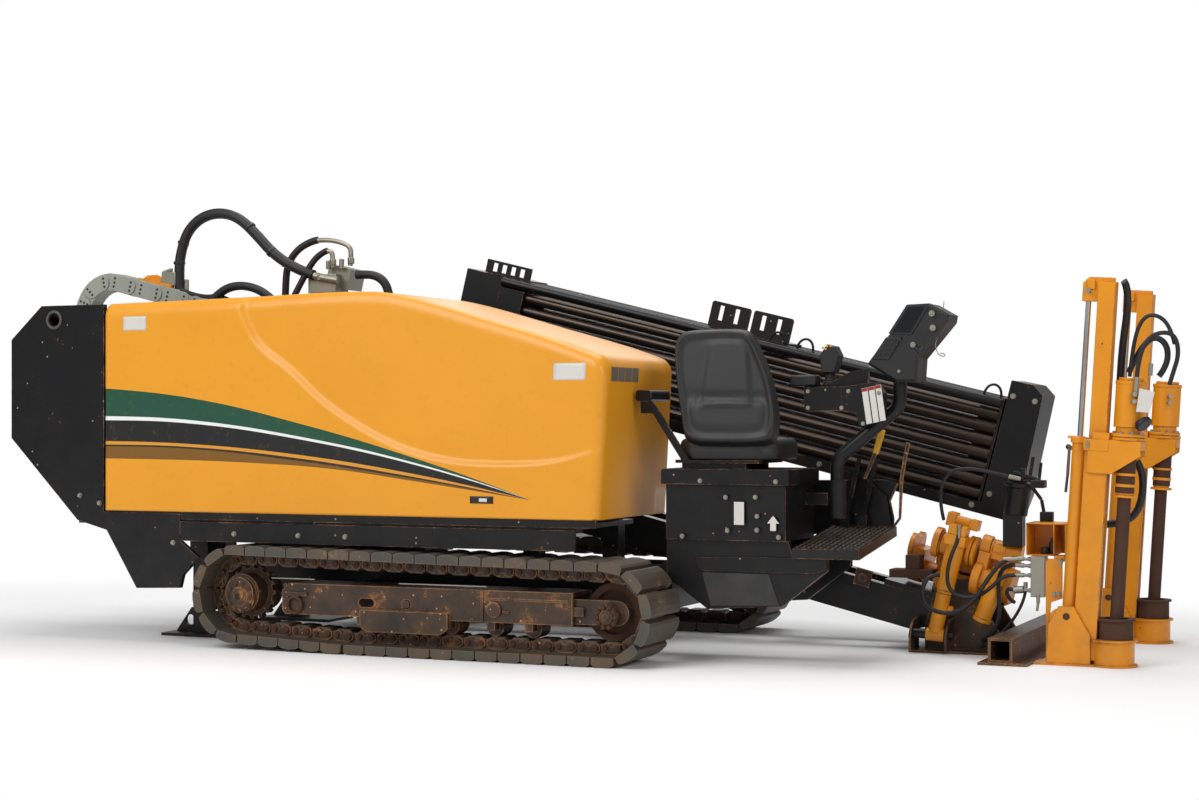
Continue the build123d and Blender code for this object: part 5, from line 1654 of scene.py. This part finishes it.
@dataclass
class Masts:
    """Collars, clevises, hoses and the blank tag of the ground anchors."""

    auger_x: float = 140.0
    cylinder_x: float = -92.0
    bolt_circle: float = 68.0

    def mast(self, side: str) -> None:
        """Makes one mast's pieces.

        Args:
            side: "near" or "far".
        """
        body, mast = f"anchor_{side}", MASTS[side]
        auger_x, cylinder_x = self.auger_x, self.cylinder_x
        head = Piece(f"anchor_head_{side}", Finish.YELLOW, body, "yellow_paint", mast)
        head.rod((auger_x, 0, 1134), (auger_x, 0, 1150), 83, 40)
        head.rod((auger_x, 0, 1392), (auger_x, 0, 1410), 76, 40)
        head.rod((auger_x, 0, 1410), (auger_x, 0, 1424), 60, 32)
        for low, high in ((-77, -65), (65, 77)):
            head.box((-62, low, 1058), (62, high, 1114))
            head.box((-24, max(low, -70), 1114), (62, min(high, 70), 1150))
        head.box((-96, -34, 1850), (-60, 34, 1900))
        head.done(0.003)
        bolts = Piece(f"anchor_bolts_{side}", Finish.ZINC, body, "grey_steel", mast)
        for turn in range(8):
            angle = math.pi / 8 + turn * math.pi / 4
            x = auger_x + self.bolt_circle * math.cos(angle)
            bolts.bolt((x, self.bolt_circle * math.sin(angle), 1150), (0, 0, 1), 18)
        for z in (1078, 1096):
            bolts.bolt((-40, -74, z), (0, -1, 0), 17)
        bolts.rod((-90, -48, 1842), (-90, 48, 1842), 13, 20)
        for y, z in ((-70, 1310), (-70, 1345)):
            bolts.rod((160, y, z), (176, y - 34, z), 11, 14)
        bolts.done()
        clevis = Piece(f"anchor_clevis_{side}", Finish.YELLOW, "rack", "yellow_paint", mast)
        clevis.rod((-140, -58, 232), (-140, 58, 232), 34, 28)
        for y in (-66, 57):
            clevis.plate(((-176, 150), (-176, 240), (-150, 268), (-96, 262), (-60, 150)), y, 9)
        clevis.rod((cylinder_x, 0, 250), (cylinder_x, 0, 268), 40, 32)
        clevis.rod((cylinder_x, 0, 1090), (cylinder_x, 0, 1120), 45, 32)
        clevis.box((-150, -22, 1112), (-70, 22, 1124))
        clevis.done(0.003)
        pin = Piece(f"anchor_pin_{side}", Finish.RUST, "rack", "rusty_steel", mast)
        pin.rod((cylinder_x, -80, 236), (cylinder_x, 80, 236), 17, 24)
        pin.done(0.002)
        sleeve = Piece(
            f"auger_coupling_{side}", Finish.YELLOW, f"auger_{side}", "yellow_paint", mast
        )
        for low, high, radius in (
            (945, 958, 52), (905, 945, 44), (890, 905, 50), (850, 890, 42), (838, 850, 56),
        ):
            sleeve.rod((auger_x, 0, low), (auger_x, 0, high), radius, 32)
        sleeve.done(0.002)

    def trim(self) -> None:
        """Makes the blank tag, the hanging cap and the hoses on the near mast."""
        tag = Piece("blank_tag", Finish.LABEL, "anchor_near", "moulded_plastic", MASTS["near"])
        tag.slab(
            ((196, -96, 1376), (268, -88, 1362), (250, -100, 1260), (188, -108, 1262)),
            Vector((0, -1.5, 0)),
        )
        tag.done()
        cap = Piece("hose_cap", Finish.RUBBER, "anchor_near", "black_paint", MASTS["near"])
        cap.rod((214, -70, 1212), (230, -78, 1196), 42, 28)
        cap.rod((208, -67, 1220), (214, -70, 1212), 34, 28)
        cap.done(0.004)
        ends = Piece("anchor_hose_ends", Finish.ZINC, "anchor_near", "grey_steel", MASTS["near"])
        ends.rod((176, -80, 1334), (176, -80, 1430), 12, 14)
        ends.rod((160, -70, 1340), (250, -80, 1330), 9, 12)
        ends.rod((226, 10, 1440), (226, 10, 1500), 11, 14)
        ends.done()
        near = (
            ("mast_hose_loop", 19.0, (
                (60, 80, 1900), (90, 110, 1860), (60, 110, 1500), (80, 120, 1120), (180, 140, 1010),
                (210, 142, 900), (190, 142, 760), (110, 140, 700), (20, 100, 690),
            )),
            ("mast_hose_thick", 15.0, (
                (110, 90, 1450), (150, 90, 1560), (220, 80, 1640), (290, 70, 1600), (300, 60, 1500),
                (262, 50, 1440),
            )),
            ("mast_hose_thin", 11.0, (
                (176, -80, 1420), (178, -78, 1520), (220, -60, 1640), (330, -30, 1660), (360, 0, 1560),
                (330, 20, 1450), (318, 22, 1400),
            )),
            ("mast_hose_rise", 10.0, (
                (120, 60, 1430), (124, 60, 1560), (150, 60, 1700), (210, 50, 1750), (300, 40, 1700),
                (330, 30, 1600),
            )),
        )
        for name, radius, points in near:
            hose(name, list(points), radius, "anchor_near", frame_of=MASTS["near"])

    def build(self) -> None:
        """Makes the masts' pieces."""
        self.mast("near")
        self.mast("far")
        self.trim()


@dataclass
class Undercarriage:
    """Links and hubs of both tracks, and the fittings on the near one's frame.

    The belt is the links' middle line: its radius round the wheels, whose middles are rear and
    front, and the place ramp_x from which it rises behind.
    """

    near_band: float = -992.0
    far_band: float = 808.0
    pitch: float = 125.0
    belt: float = 213.3
    rear: tuple = (-1272.0, 288.6)
    front: tuple = (834.0, 258.6)
    ramp_x: float = -620.0
    half_band: float = 60.0
    frame_face: float = -1112.0

    def belt_spots(self) -> tuple[list[tuple[float, float, float]], float]:
        """Gives the places of the links along the belt.

        Returns:
            Each link's x, z and outward angle, and the pitch between links.
        """
        (rear_x, rear_z), (front_x, front_z) = self.rear, self.front
        gap, lift = front_x - rear_x, rear_z - front_z
        rise = math.atan2(lift, gap)
        ramp = math.hypot(self.ramp_x - rear_x, lift)
        slope = math.asin(lift / ramp)
        up = math.pi / 2
        runs = (
            ("line", rear_x, rear_z, up - rise, math.hypot(gap, lift)),
            ("arc", front_x, front_z, up - rise, math.pi - rise),
            ("line", front_x, front_z, -up, front_x - self.ramp_x),
            ("line", self.ramp_x, front_z, -up - slope, ramp),
            ("arc", rear_x, rear_z, -up - slope, math.pi - slope + rise),
        )
        lengths = [run[4] * (self.belt if run[0] == "arc" else 1.0) for run in runs]
        total = sum(lengths)
        count = round(total / self.pitch)
        spots = []
        for index in range(count):
            distance = total * index / count
            for run, length in zip(runs, lengths):
                if distance <= length:
                    break
                distance -= length
            kind, x, z, angle, _ = run
            if kind == "arc":
                angle -= distance / self.belt
                distance = 0.0
            spots.append((
                x + self.belt * math.cos(angle) + distance * math.sin(angle),
                z + self.belt * math.sin(angle) - distance * math.cos(angle),
                angle,
            ))
        return spots, total / count

    def links(self) -> None:
        """Makes the rounded side plates of the links, with the pins' heads."""
        outline = (
            (-0.5, -22), (-0.52, -36), (-0.46, -54), (-0.3, -63), (-0.14, -60), (-0.05, -46),
            (0.05, -46), (0.14, -60), (0.3, -63), (0.46, -54), (0.5, -36), (0.48, -22), (0.3, -6),
            (-0.3, -6),
        )
        plates = Piece("track_link_plates", Finish.SCRAPED, "chassis", "track_steel")
        pins = Piece("track_link_pins", Finish.RUST, "chassis", "rusty_steel")
        spots, pitch = self.belt_spots()
        for band in (self.near_band, self.far_band):
            for edge in (-1, 1):
                face = band + edge * self.half_band
                for x, z, angle in spots:
                    out = Vector((math.cos(angle), 0, math.sin(angle)))
                    along = Vector((math.sin(angle), 0, -math.cos(angle)))
                    place = Vector((x, face, z))
                    corners = [
                        place + out * high + along * share * pitch * 0.94 for share, high in outline
                    ]
                    plates.slab(corners, Vector((0, edge * 11, 0)))
                    for share in (-0.29, 0.29):
                        middle = place + out * -36 + along * share * pitch
                        start, end = Vector((0, edge * 9, 0)), Vector((0, edge * 20, 0))
                        pins.rod(middle + start, middle + end, 13, 10)
        plates.done()
        pins.done()

    def fittings(self) -> None:
        """Makes the towing ring, caps, bolts, straps and pipes on the near track's frame."""
        face = self.frame_face
        plates = Piece("track_frame_fittings", Finish.SCRAPED, "chassis", "rusty_steel")
        plates.box((-1020, face - 18, 286), (-866, face, 308))
        plates.box((-1000, face - 14, 250), (-978, face, 290))
        plates.box((140, face - 10, 190), (156, face, 352))
        plates.box((160, face - 6, 300), (620, face, 316))
        plates.rod((215, face, 256), (215, face - 14, 256), 42, 32)
        plates.rod((215, face - 12, 256), (215, face - 18, 256), 34, 32)
        plates.box((262, face - 10, 236), (300, face, 252))
        plates.rod((-286, face + 4, 264), (-286, face - 8, 264), 22, 24)
        plates.box((640, -1104, 236), (700, -1086, 282))
        for x, z in ((-171, 317), (-171, 232), (-1000, 214), (-1000, 340), (92, 200), (92, 344)):
            plates.rod((x, face, z), (x, face - 8, z), 13, 14)
        plates.done(0.003)
        ring = ring_points(-940, -1128, 240, 44, range(60, 481, 30))
        hose("track_towing_ring", ring, 8, "chassis", Finish.RUST)
        rods = Piece("track_grease_pipes", Finish.ZINC, "chassis", "grey_steel")
        rods.box((-1090, -1110, 372), (-830, -1096, 378))
        rods.box((-330, -1110, 366), (170, -1096, 372))
        rods.done(0.001)

    def hubs(self) -> None:
        """Makes the sprocket's and idler's hubs with their rings of bolts."""
        hub = Piece("track_hubs", Finish.SCRAPED, "chassis", "rusty_steel")
        bolts = Piece("track_hub_bolts", Finish.RUST, "chassis", "rusty_steel")
        seat, cover, plug, end = -1108, -1132, -1142, -1150
        for x, z, radius in ((-1272, 272, 88), (834, 242, 60)):
            hub.rod((x, seat, z), (x, cover, z), radius, 40)
            hub.rod((x, cover, z), (x, plug, z), radius * 0.62, 32)
            hub.rod((x, plug, z), (x, end, z), radius * 0.3, 24)
            for turn in range(10):
                angle = turn * math.pi / 5
                bolt_x = x + radius * 0.82 * math.cos(angle)
                bolt_z = z + radius * 0.82 * math.sin(angle)
                bolts.bolt((bolt_x, cover, bolt_z), (0, -1, 0), 20)
        hub.done(0.004)
        bolts.done()

    def build(self) -> None:
        """Makes the undercarriage's pieces."""
        self.hubs()
        self.links()
        self.fittings()


@dataclass
class Trim:
    """Bare labels, bolts, rings, guard plates and the energy chain's links.

    The chain's sizes are in the rack's frame: the middle and radius of its bend, where its
    upper run ends, how long its lower run is and how long a link is, about.
    """

    seat_box_face: float = -790.0
    beam_face: float = -1092.0
    chain_bend: tuple = (-5562.0, 197.0)
    chain_radius: float = 202.5
    chain_top_end: float = -4816.0
    chain_low_run: float = 802.0
    chain_link: float = 205.0
    chain_face: float = -301.0

    def labels(self) -> None:
        """Makes the bare labels on the seat's box and the plates on the hood's front."""
        plates = (
            ("seat_box_label", ((1374, 803), (1426, 803), (1426, 690), (1374, 690))),
            ("seat_box_arrow", (
                (1577, 738), (1608, 700), (1592, 700), (1592, 664), (1562, 664), (1562, 700),
                (1546, 700),
            )),
        )
        for name, corners in plates:
            piece = Piece(name, Finish.LABEL, "chassis", "moulded_plastic")
            piece.plate(corners, self.seat_box_face - 0.3, -0.8)
            piece.done()
        foot_x, top_x = 808.4, 812.2
        for index, low in enumerate((-1010, -920, -830, -740)):
            piece = Piece(f"hood_front_plate_{index}", Finish.ZINC, "hood", "grey_steel")
            high = low + 80
            foot = ((foot_x, low, 1400), (foot_x, high, 1400))
            top = ((top_x, high, 1470), (top_x, low, 1470))
            piece.slab(foot + top, Vector((1.2, 0, 0)))
            piece.done()

    def bolts(self) -> None:
        """Makes the bolts on the seat's box, the rod box and the side beam."""
        chassis = Piece("chassis_bolts", Finish.ZINC, "chassis", "grey_steel")
        for x, z in (
            (1100, 628), (1339, 661), (1493, 666), (1330, 825), (1485, 828), (1605, 633), (1494, 734),
            (1195, 905), (1590, 905),
        ):
            chassis.bolt((x, self.seat_box_face, z), (0, -1, 0), 17)
        for x, z in (
            (-1333, 600), (-938, 600), (-655, 600), (-2330, 790), (-2200, 750), (-1719, 545),
        ):
            chassis.bolt((x, self.beam_face, z), (0, -1, 0), 20)
        chassis.done()
        rack = Piece("rack_bolts", Finish.ZINC, "rack", "grey_steel", RACK)
        for x, z in (
            (60, 460), (60, 1000), (180, 1000), (190, 500), (-20, 380), (-900, 380), (-2100, 380),
        ):
            rack.bolt((x - 193, 215, z), (0, -1, 0), 22)
        rack.done()

    def tread(self) -> None:
        """Makes the raised lugs on the foot platform."""
        place = Matrix.Translation((1.84, -0.44, 0.596))
        slope = Matrix.Rotation(math.atan(0.12), 4, "X")
        tread = place @ slope @ GROUND
        lugs = Piece("platform_lugs", Finish.SHOES, "chassis", "black_paint", tread)
        for row in range(22):
            for column in range(11):
                x, y = -150 + column * 30, -325 + row * 31
                way = 45 if (row + column) % 2 else -45
                turned = Matrix.Translation((x, y, 26)) @ Matrix.Rotation(math.radians(way), 4, "Z")
                lugs.box((-11, -3, -1.5), (11, 3, 1.5), turned)
        lugs.done()

    def panels(self) -> None:
        """Makes the guard plate behind the platform and the stiffeners of its bracket."""
        guard = Piece("platform_guard", Finish.BLACK, "chassis", "black_paint")
        guard.plate((
            (1434, 892), (1434, 610), (1984, 618), (1992, 700), (1972, 792), (2012, 880),
            (1940, 900),
        ), -92, 12)
        guard.box((1434, -96, 600), (1446, -40, 892))
        guard.done(0.002)
        lip = Piece("platform_guard_lip", Finish.SCRAPED, "chassis", "black_paint")
        edge = ((1984, 618), (1992, 700), (1972, 792), (2012, 880))
        for start, end in zip(edge, edge[1:]):
            lip.rod((start[0], -94, start[1]), (end[0], -94, end[1]), 6, 10)
        lip.done()
        flange = Piece("bracket_flange", Finish.BLACK, "chassis", "black_paint")
        flange.plate((
            (1160, 522), (1500, 531), (1838, 532), (1838, 476), (1776, 455), (1178, 454),
        ), -746, -12)
        flange.done(0.002)
        panel = Piece("bracket_panel", Finish.IRON, "chassis", "black_paint")
        panel.plate(((1190, 448), (1236, 282), (1596, 294), (1540, 448)), -746, -6)
        panel.done(0.002)

    def sill(self) -> None:
        """Makes the rubber strip that the hood's rear end rests over."""
        strip = Piece("hood_sill_strip", Finish.RUBBER, "chassis", "black_paint")
        strip.box((-2158, -1084, 694), (-1676, -1044, 711.4))
        strip.done(0.002)

    def eye_and_bracket(self) -> None:
        """Makes the rear guard's lifting eye and the bracket and clamp at the chain's end."""
        ring = ring_points(-2503, -1095, 1758, 47, range(0, 421, 30))
        hose("guard_lifting_eye", ring, 8, "chassis", Finish.SHOES)
        bracket = Piece("chain_bracket", Finish.YELLOW, "rack", "yellow_paint")
        bracket.plate(((-2819, 2044), (-2819, 2074), (-2582, 2024), (-2582, 1989)), 124, 36)
        bracket.plate((
            (-2800, 2070), (-2770, 2088), (-2700, 2090), (-2582, 2036), (-2582, 2010),
        ), 150, 14)
        bracket.box((-2648, 124, 1905), (-2626, 160, 2012))
        bracket.done(0.002)
        clamp = Piece("chain_clamp", Finish.ZINC, "rack", "grey_steel")
        clamp.box((-2660, 140, 2020), (-2560, 200, 2104))
        clamp.rod((-2668, 170, 2100), (-2600, 170, 2120), 12, 16)
        clamp.done(0.004)

    def rod_guides(self) -> None:
        """Makes the guide block and the stays under the rods, behind the vises."""
        guide = Piece("rod_guide_block", Finish.RUST, "rack", "rusty_steel")
        guide.box((1985, 160, 420), (2060, 260, 500))
        guide.box((1900, 150, 380), (2130, 270, 424))
        guide.done(0.003)
        stays = Piece("rack_stays", Finish.SCRAPED, "rack", "black_paint", RACK)
        for x in (-1500, -1180, -860, -640):
            stays.box((x, -196, -150), (x + 90, -180, -60))
            stays.rod((x + 45, -196, -105), (x + 45, -216, -105), 22, 20)
        stays.done(0.002)

    def rings(self) -> None:
        """Makes the three lifting rings on the rod box."""
        for index, x in enumerate((-1500.0, -1330.0, -245.0)):
            ring = []
            for step in range(9):
                angle = math.pi * step / 8
                ring.append((x - 48 * math.cos(angle), 228, 976 + 62 * math.sin(angle)))
            hose(f"lifting_ring_{index}", ring, 7, "rack", Finish.BLACK, frame_of=RACK)

    def chain_place(self, run: float, out: float) -> tuple[float, float]:
        """Gives a place on the energy chain in the rack's frame.

        Args:
            run: The way along the chain's middle line from its upper end.
            out: The height over that line, outwards.

        Returns:
            The place's x and z.
        """
        (bend_x, bend_z), radius = self.chain_bend, self.chain_radius
        top_run = self.chain_top_end - bend_x
        if run < top_run:
            return self.chain_top_end - run, bend_z + radius + out
        turn = (run - top_run) / radius
        if turn < math.pi:
            reach = radius + out
            return bend_x - reach * math.sin(turn), bend_z + reach * math.cos(turn)
        return bend_x + run - top_run - math.pi * radius, bend_z - radius - out

    def chain(self) -> None:
        """Makes the rounded side plates, the pins and the crossbars of the chain's links."""
        face = self.chain_face
        top_run = self.chain_top_end - self.chain_bend[0]
        length = top_run + math.pi * self.chain_radius + self.chain_low_run
        count = round(length / self.chain_link)
        pitch = length / count
        # A link's outline: shares of the pitch along the chain, millimetres across it
        link = (
            (0.22, 50), (0.36, 50), (0.5, 50), (0.64, 50), (0.78, 50), (0.9, 40), (0.97, 18),
            (0.97, -18), (0.9, -40), (0.78, -50), (0.64, -50), (0.5, -50), (0.36, -50),
            (0.22, -50), (0.1, -40), (0.03, -18), (0.03, 18), (0.1, 40),
        )
        plates = Piece("chain_plates", Finish.NYLON, "rack", "chain_plastic", RACK)
        pins = Piece("chain_pins", Finish.ABS, "rack", "chain_plastic", RACK)
        for index in range(count):
            first = index * pitch
            outline = [self.chain_place(first + share * pitch, out) for share, out in link]
            plates.plate(outline, face + 2, -10)
            bar = [
                self.chain_place(first + run, out)
                for run, out in ((10, -56), (46, -56), (46, 56), (10, 56))
            ]
            plates.plate(bar, face + 14, 84)
            for share in (0.2, 0.8):
                for out in (-26, 0, 26):
                    x, z = self.chain_place(first + share * pitch, out)
                    pins.rod((x, face - 6, z), (x, face - 11, z), 7, 10)
        plates.done(0.0015)
        pins.done()

    def build(self) -> None:
        """Makes the trim."""
        self.labels()
        self.bolts()
        self.rings()
        self.chain()
        self.tread()
        self.panels()
        self.sill()
        self.eye_and_bracket()
        self.rod_guides()


@dataclass
class Stage:
    """Floor, light and camera."""

    eye: tuple = (4.885, -10.622, 1.227)
    yaw: float = 23.3
    lens: float = 63.35
    horizon_drop: float = 16 / 1199
    floor_reach: tuple = (5.2, 3.6)
    sky: float = 0.36

    def camera(self) -> None:
        """Makes the camera at the photograph's place."""
        data = bpy.data.cameras.new("camera")
        data.lens = self.lens
        data.sensor_width = 36.0
        data.shift_y = self.horizon_drop
        data.clip_end = 200.0
        made = bpy.data.objects.new("camera", data)
        made.location = self.eye
        made.rotation_euler = (math.radians(90), 0, math.radians(self.yaw))
        bpy.context.scene.collection.objects.link(made)
        bpy.context.scene.camera = made

    def floor(self) -> None:
        """Makes the pale floor, which turns to plain white away from the machine."""
        mesh = bmesh.new()
        bmesh.ops.create_grid(mesh, x_segments=2, y_segments=2, size=60)
        data = bpy.data.meshes.new("floor")
        mesh.to_mesh(data)
        mesh.free()
        made = bpy.data.objects.new("floor", data)
        bpy.context.scene.collection.objects.link(made)
        made.location = (0, 0, -0.0005)
        material, tree = new_tree("floor_white")
        place = add_node(tree, "ShaderNodeTexCoord").outputs["Object"]
        squeeze = add_node(
            tree,
            "ShaderNodeVectorMath",
            {"operation": "MULTIPLY"},
            {0: place, 1: (1 / self.floor_reach[0], 1 / self.floor_reach[1], 0.0)},
        )
        far = add_node(
            tree, "ShaderNodeVectorMath", {"operation": "LENGTH"}, {0: squeeze.outputs[0]}
        )
        fade = add_node(
            tree,
            "ShaderNodeMapRange",
            {"clamp": True, "interpolation_type": "SMOOTHSTEP"},
            {"Value": far.outputs["Value"], "From Min": 0.75, "From Max": 1.25},
        )
        rays = add_node(tree, "ShaderNodeLightPath")
        seen = add_node(
            tree,
            "ShaderNodeMath",
            {"operation": "MULTIPLY"},
            {0: fade.outputs[0], 1: rays.outputs["Is Camera Ray"]},
        )
        matt = add_node(
            tree, "ShaderNodeBsdfDiffuse", None, {"Color": to_linear("#F4F4F4")}
        )
        white = add_node(
            tree, "ShaderNodeEmission", None, {"Color": (1, 1, 1, 1), "Strength": 1.0}
        )
        mixed = add_node(
            tree,
            "ShaderNodeMixShader",
            None,
            {0: seen.outputs[0], 1: matt.outputs[0], 2: white.outputs[0]},
        )
        add_node(tree, "ShaderNodeOutputMaterial", None, {"Surface": mixed.outputs[0]})
        data.materials.append(material)

    def lights(self) -> None:
        """Makes the soft studio lamps and the world's plain light."""
        # Each lamp's name, place, aim, size in metres and power in watts
        lamps = (
            ("key", (-3.5, -8.5, 7.5), (0.0, 0.0, 0.8), 6.0, 560.0),
            ("fill", (8.0, -6.0, 4.5), (1.5, 0.0, 0.8), 4.0, 190.0),
            ("top", (0.0, 1.0, 9.0), (0.0, 0.0, 0.0), 6.5, 470.0),
            ("back", (-2.0, 9.0, 5.0), (0.0, 0.0, 1.0), 6.0, 160.0),
        )
        for name, place, aim, size, power in lamps:
            data = bpy.data.lights.new(name, "AREA")
            data.size = size
            data.energy = power
            made = bpy.data.objects.new(name, data)
            made.location = place
            made.rotation_euler = (Vector(aim) - Vector(place)).to_track_quat("-Z", "Y").to_euler()
            bpy.context.scene.collection.objects.link(made)
        world = bpy.data.worlds.new("studio")
        bpy.context.scene.world = world
        world.use_nodes = True
        tree = world.node_tree
        tree.nodes.clear()
        rays = add_node(tree, "ShaderNodeLightPath")
        white = add_node(
            tree, "ShaderNodeBackground", None, {"Color": (1, 1, 1, 1), "Strength": 1.0}
        )
        sky = add_node(
            tree, "ShaderNodeBackground", None, {"Color": (1, 1, 1, 1), "Strength": self.sky}
        )
        mixed = add_node(
            tree,
            "ShaderNodeMixShader",
            None,
            {0: rays.outputs["Is Camera Ray"], 1: sky.outputs[0], 2: white.outputs[0]},
        )
        add_node(tree, "ShaderNodeOutputWorld", None, {"Surface": mixed.outputs[0]})

    def build(self) -> None:
        """Sets the stage."""
        self.camera()
        self.floor()
        self.lights()
        bpy.context.scene.view_settings.view_transform = "Standard"


def dress_nodes() -> None:
    """Gives every carried-over node its finish."""
    by_slot = {
        "black_paint": Finish.BLACK,
        "yellow_paint": Finish.YELLOW,
        "hood_shell": Finish.HOOD,
        "track_steel": Finish.SHOES,
        "rusty_steel": Finish.RUST,
        "engine_iron": Finish.IRON,
        "seat_vinyl": Finish.VINYL,
        "rod_steel": Finish.PIPE,
        "chrome_rod": Finish.CHROME,
        "grey_steel": Finish.ZINC,
        "chain_plastic": Finish.NYLON,
        "moulded_plastic": Finish.ABS,
    }
    for part in frame["record"]["subparts"]:
        dress(by_slot[part["material_slot"]], part["node"])
    dress(Finish.SCRAPED, "track_frames", "drive_sprockets", "track_rollers", "front_skid")


def main() -> None:
    """Builds the machine's looks and its stage."""
    logging.basicConfig(level=logging.INFO, format="%(name)s %(message)s")
    Stage().build()
    dress_nodes()
    for group in (Hood(), Seat(), Console(), Vises(), Carriage(), Masts(), Undercarriage(), Trim()):
        group.build()


if __name__ == "__main__":
    main()
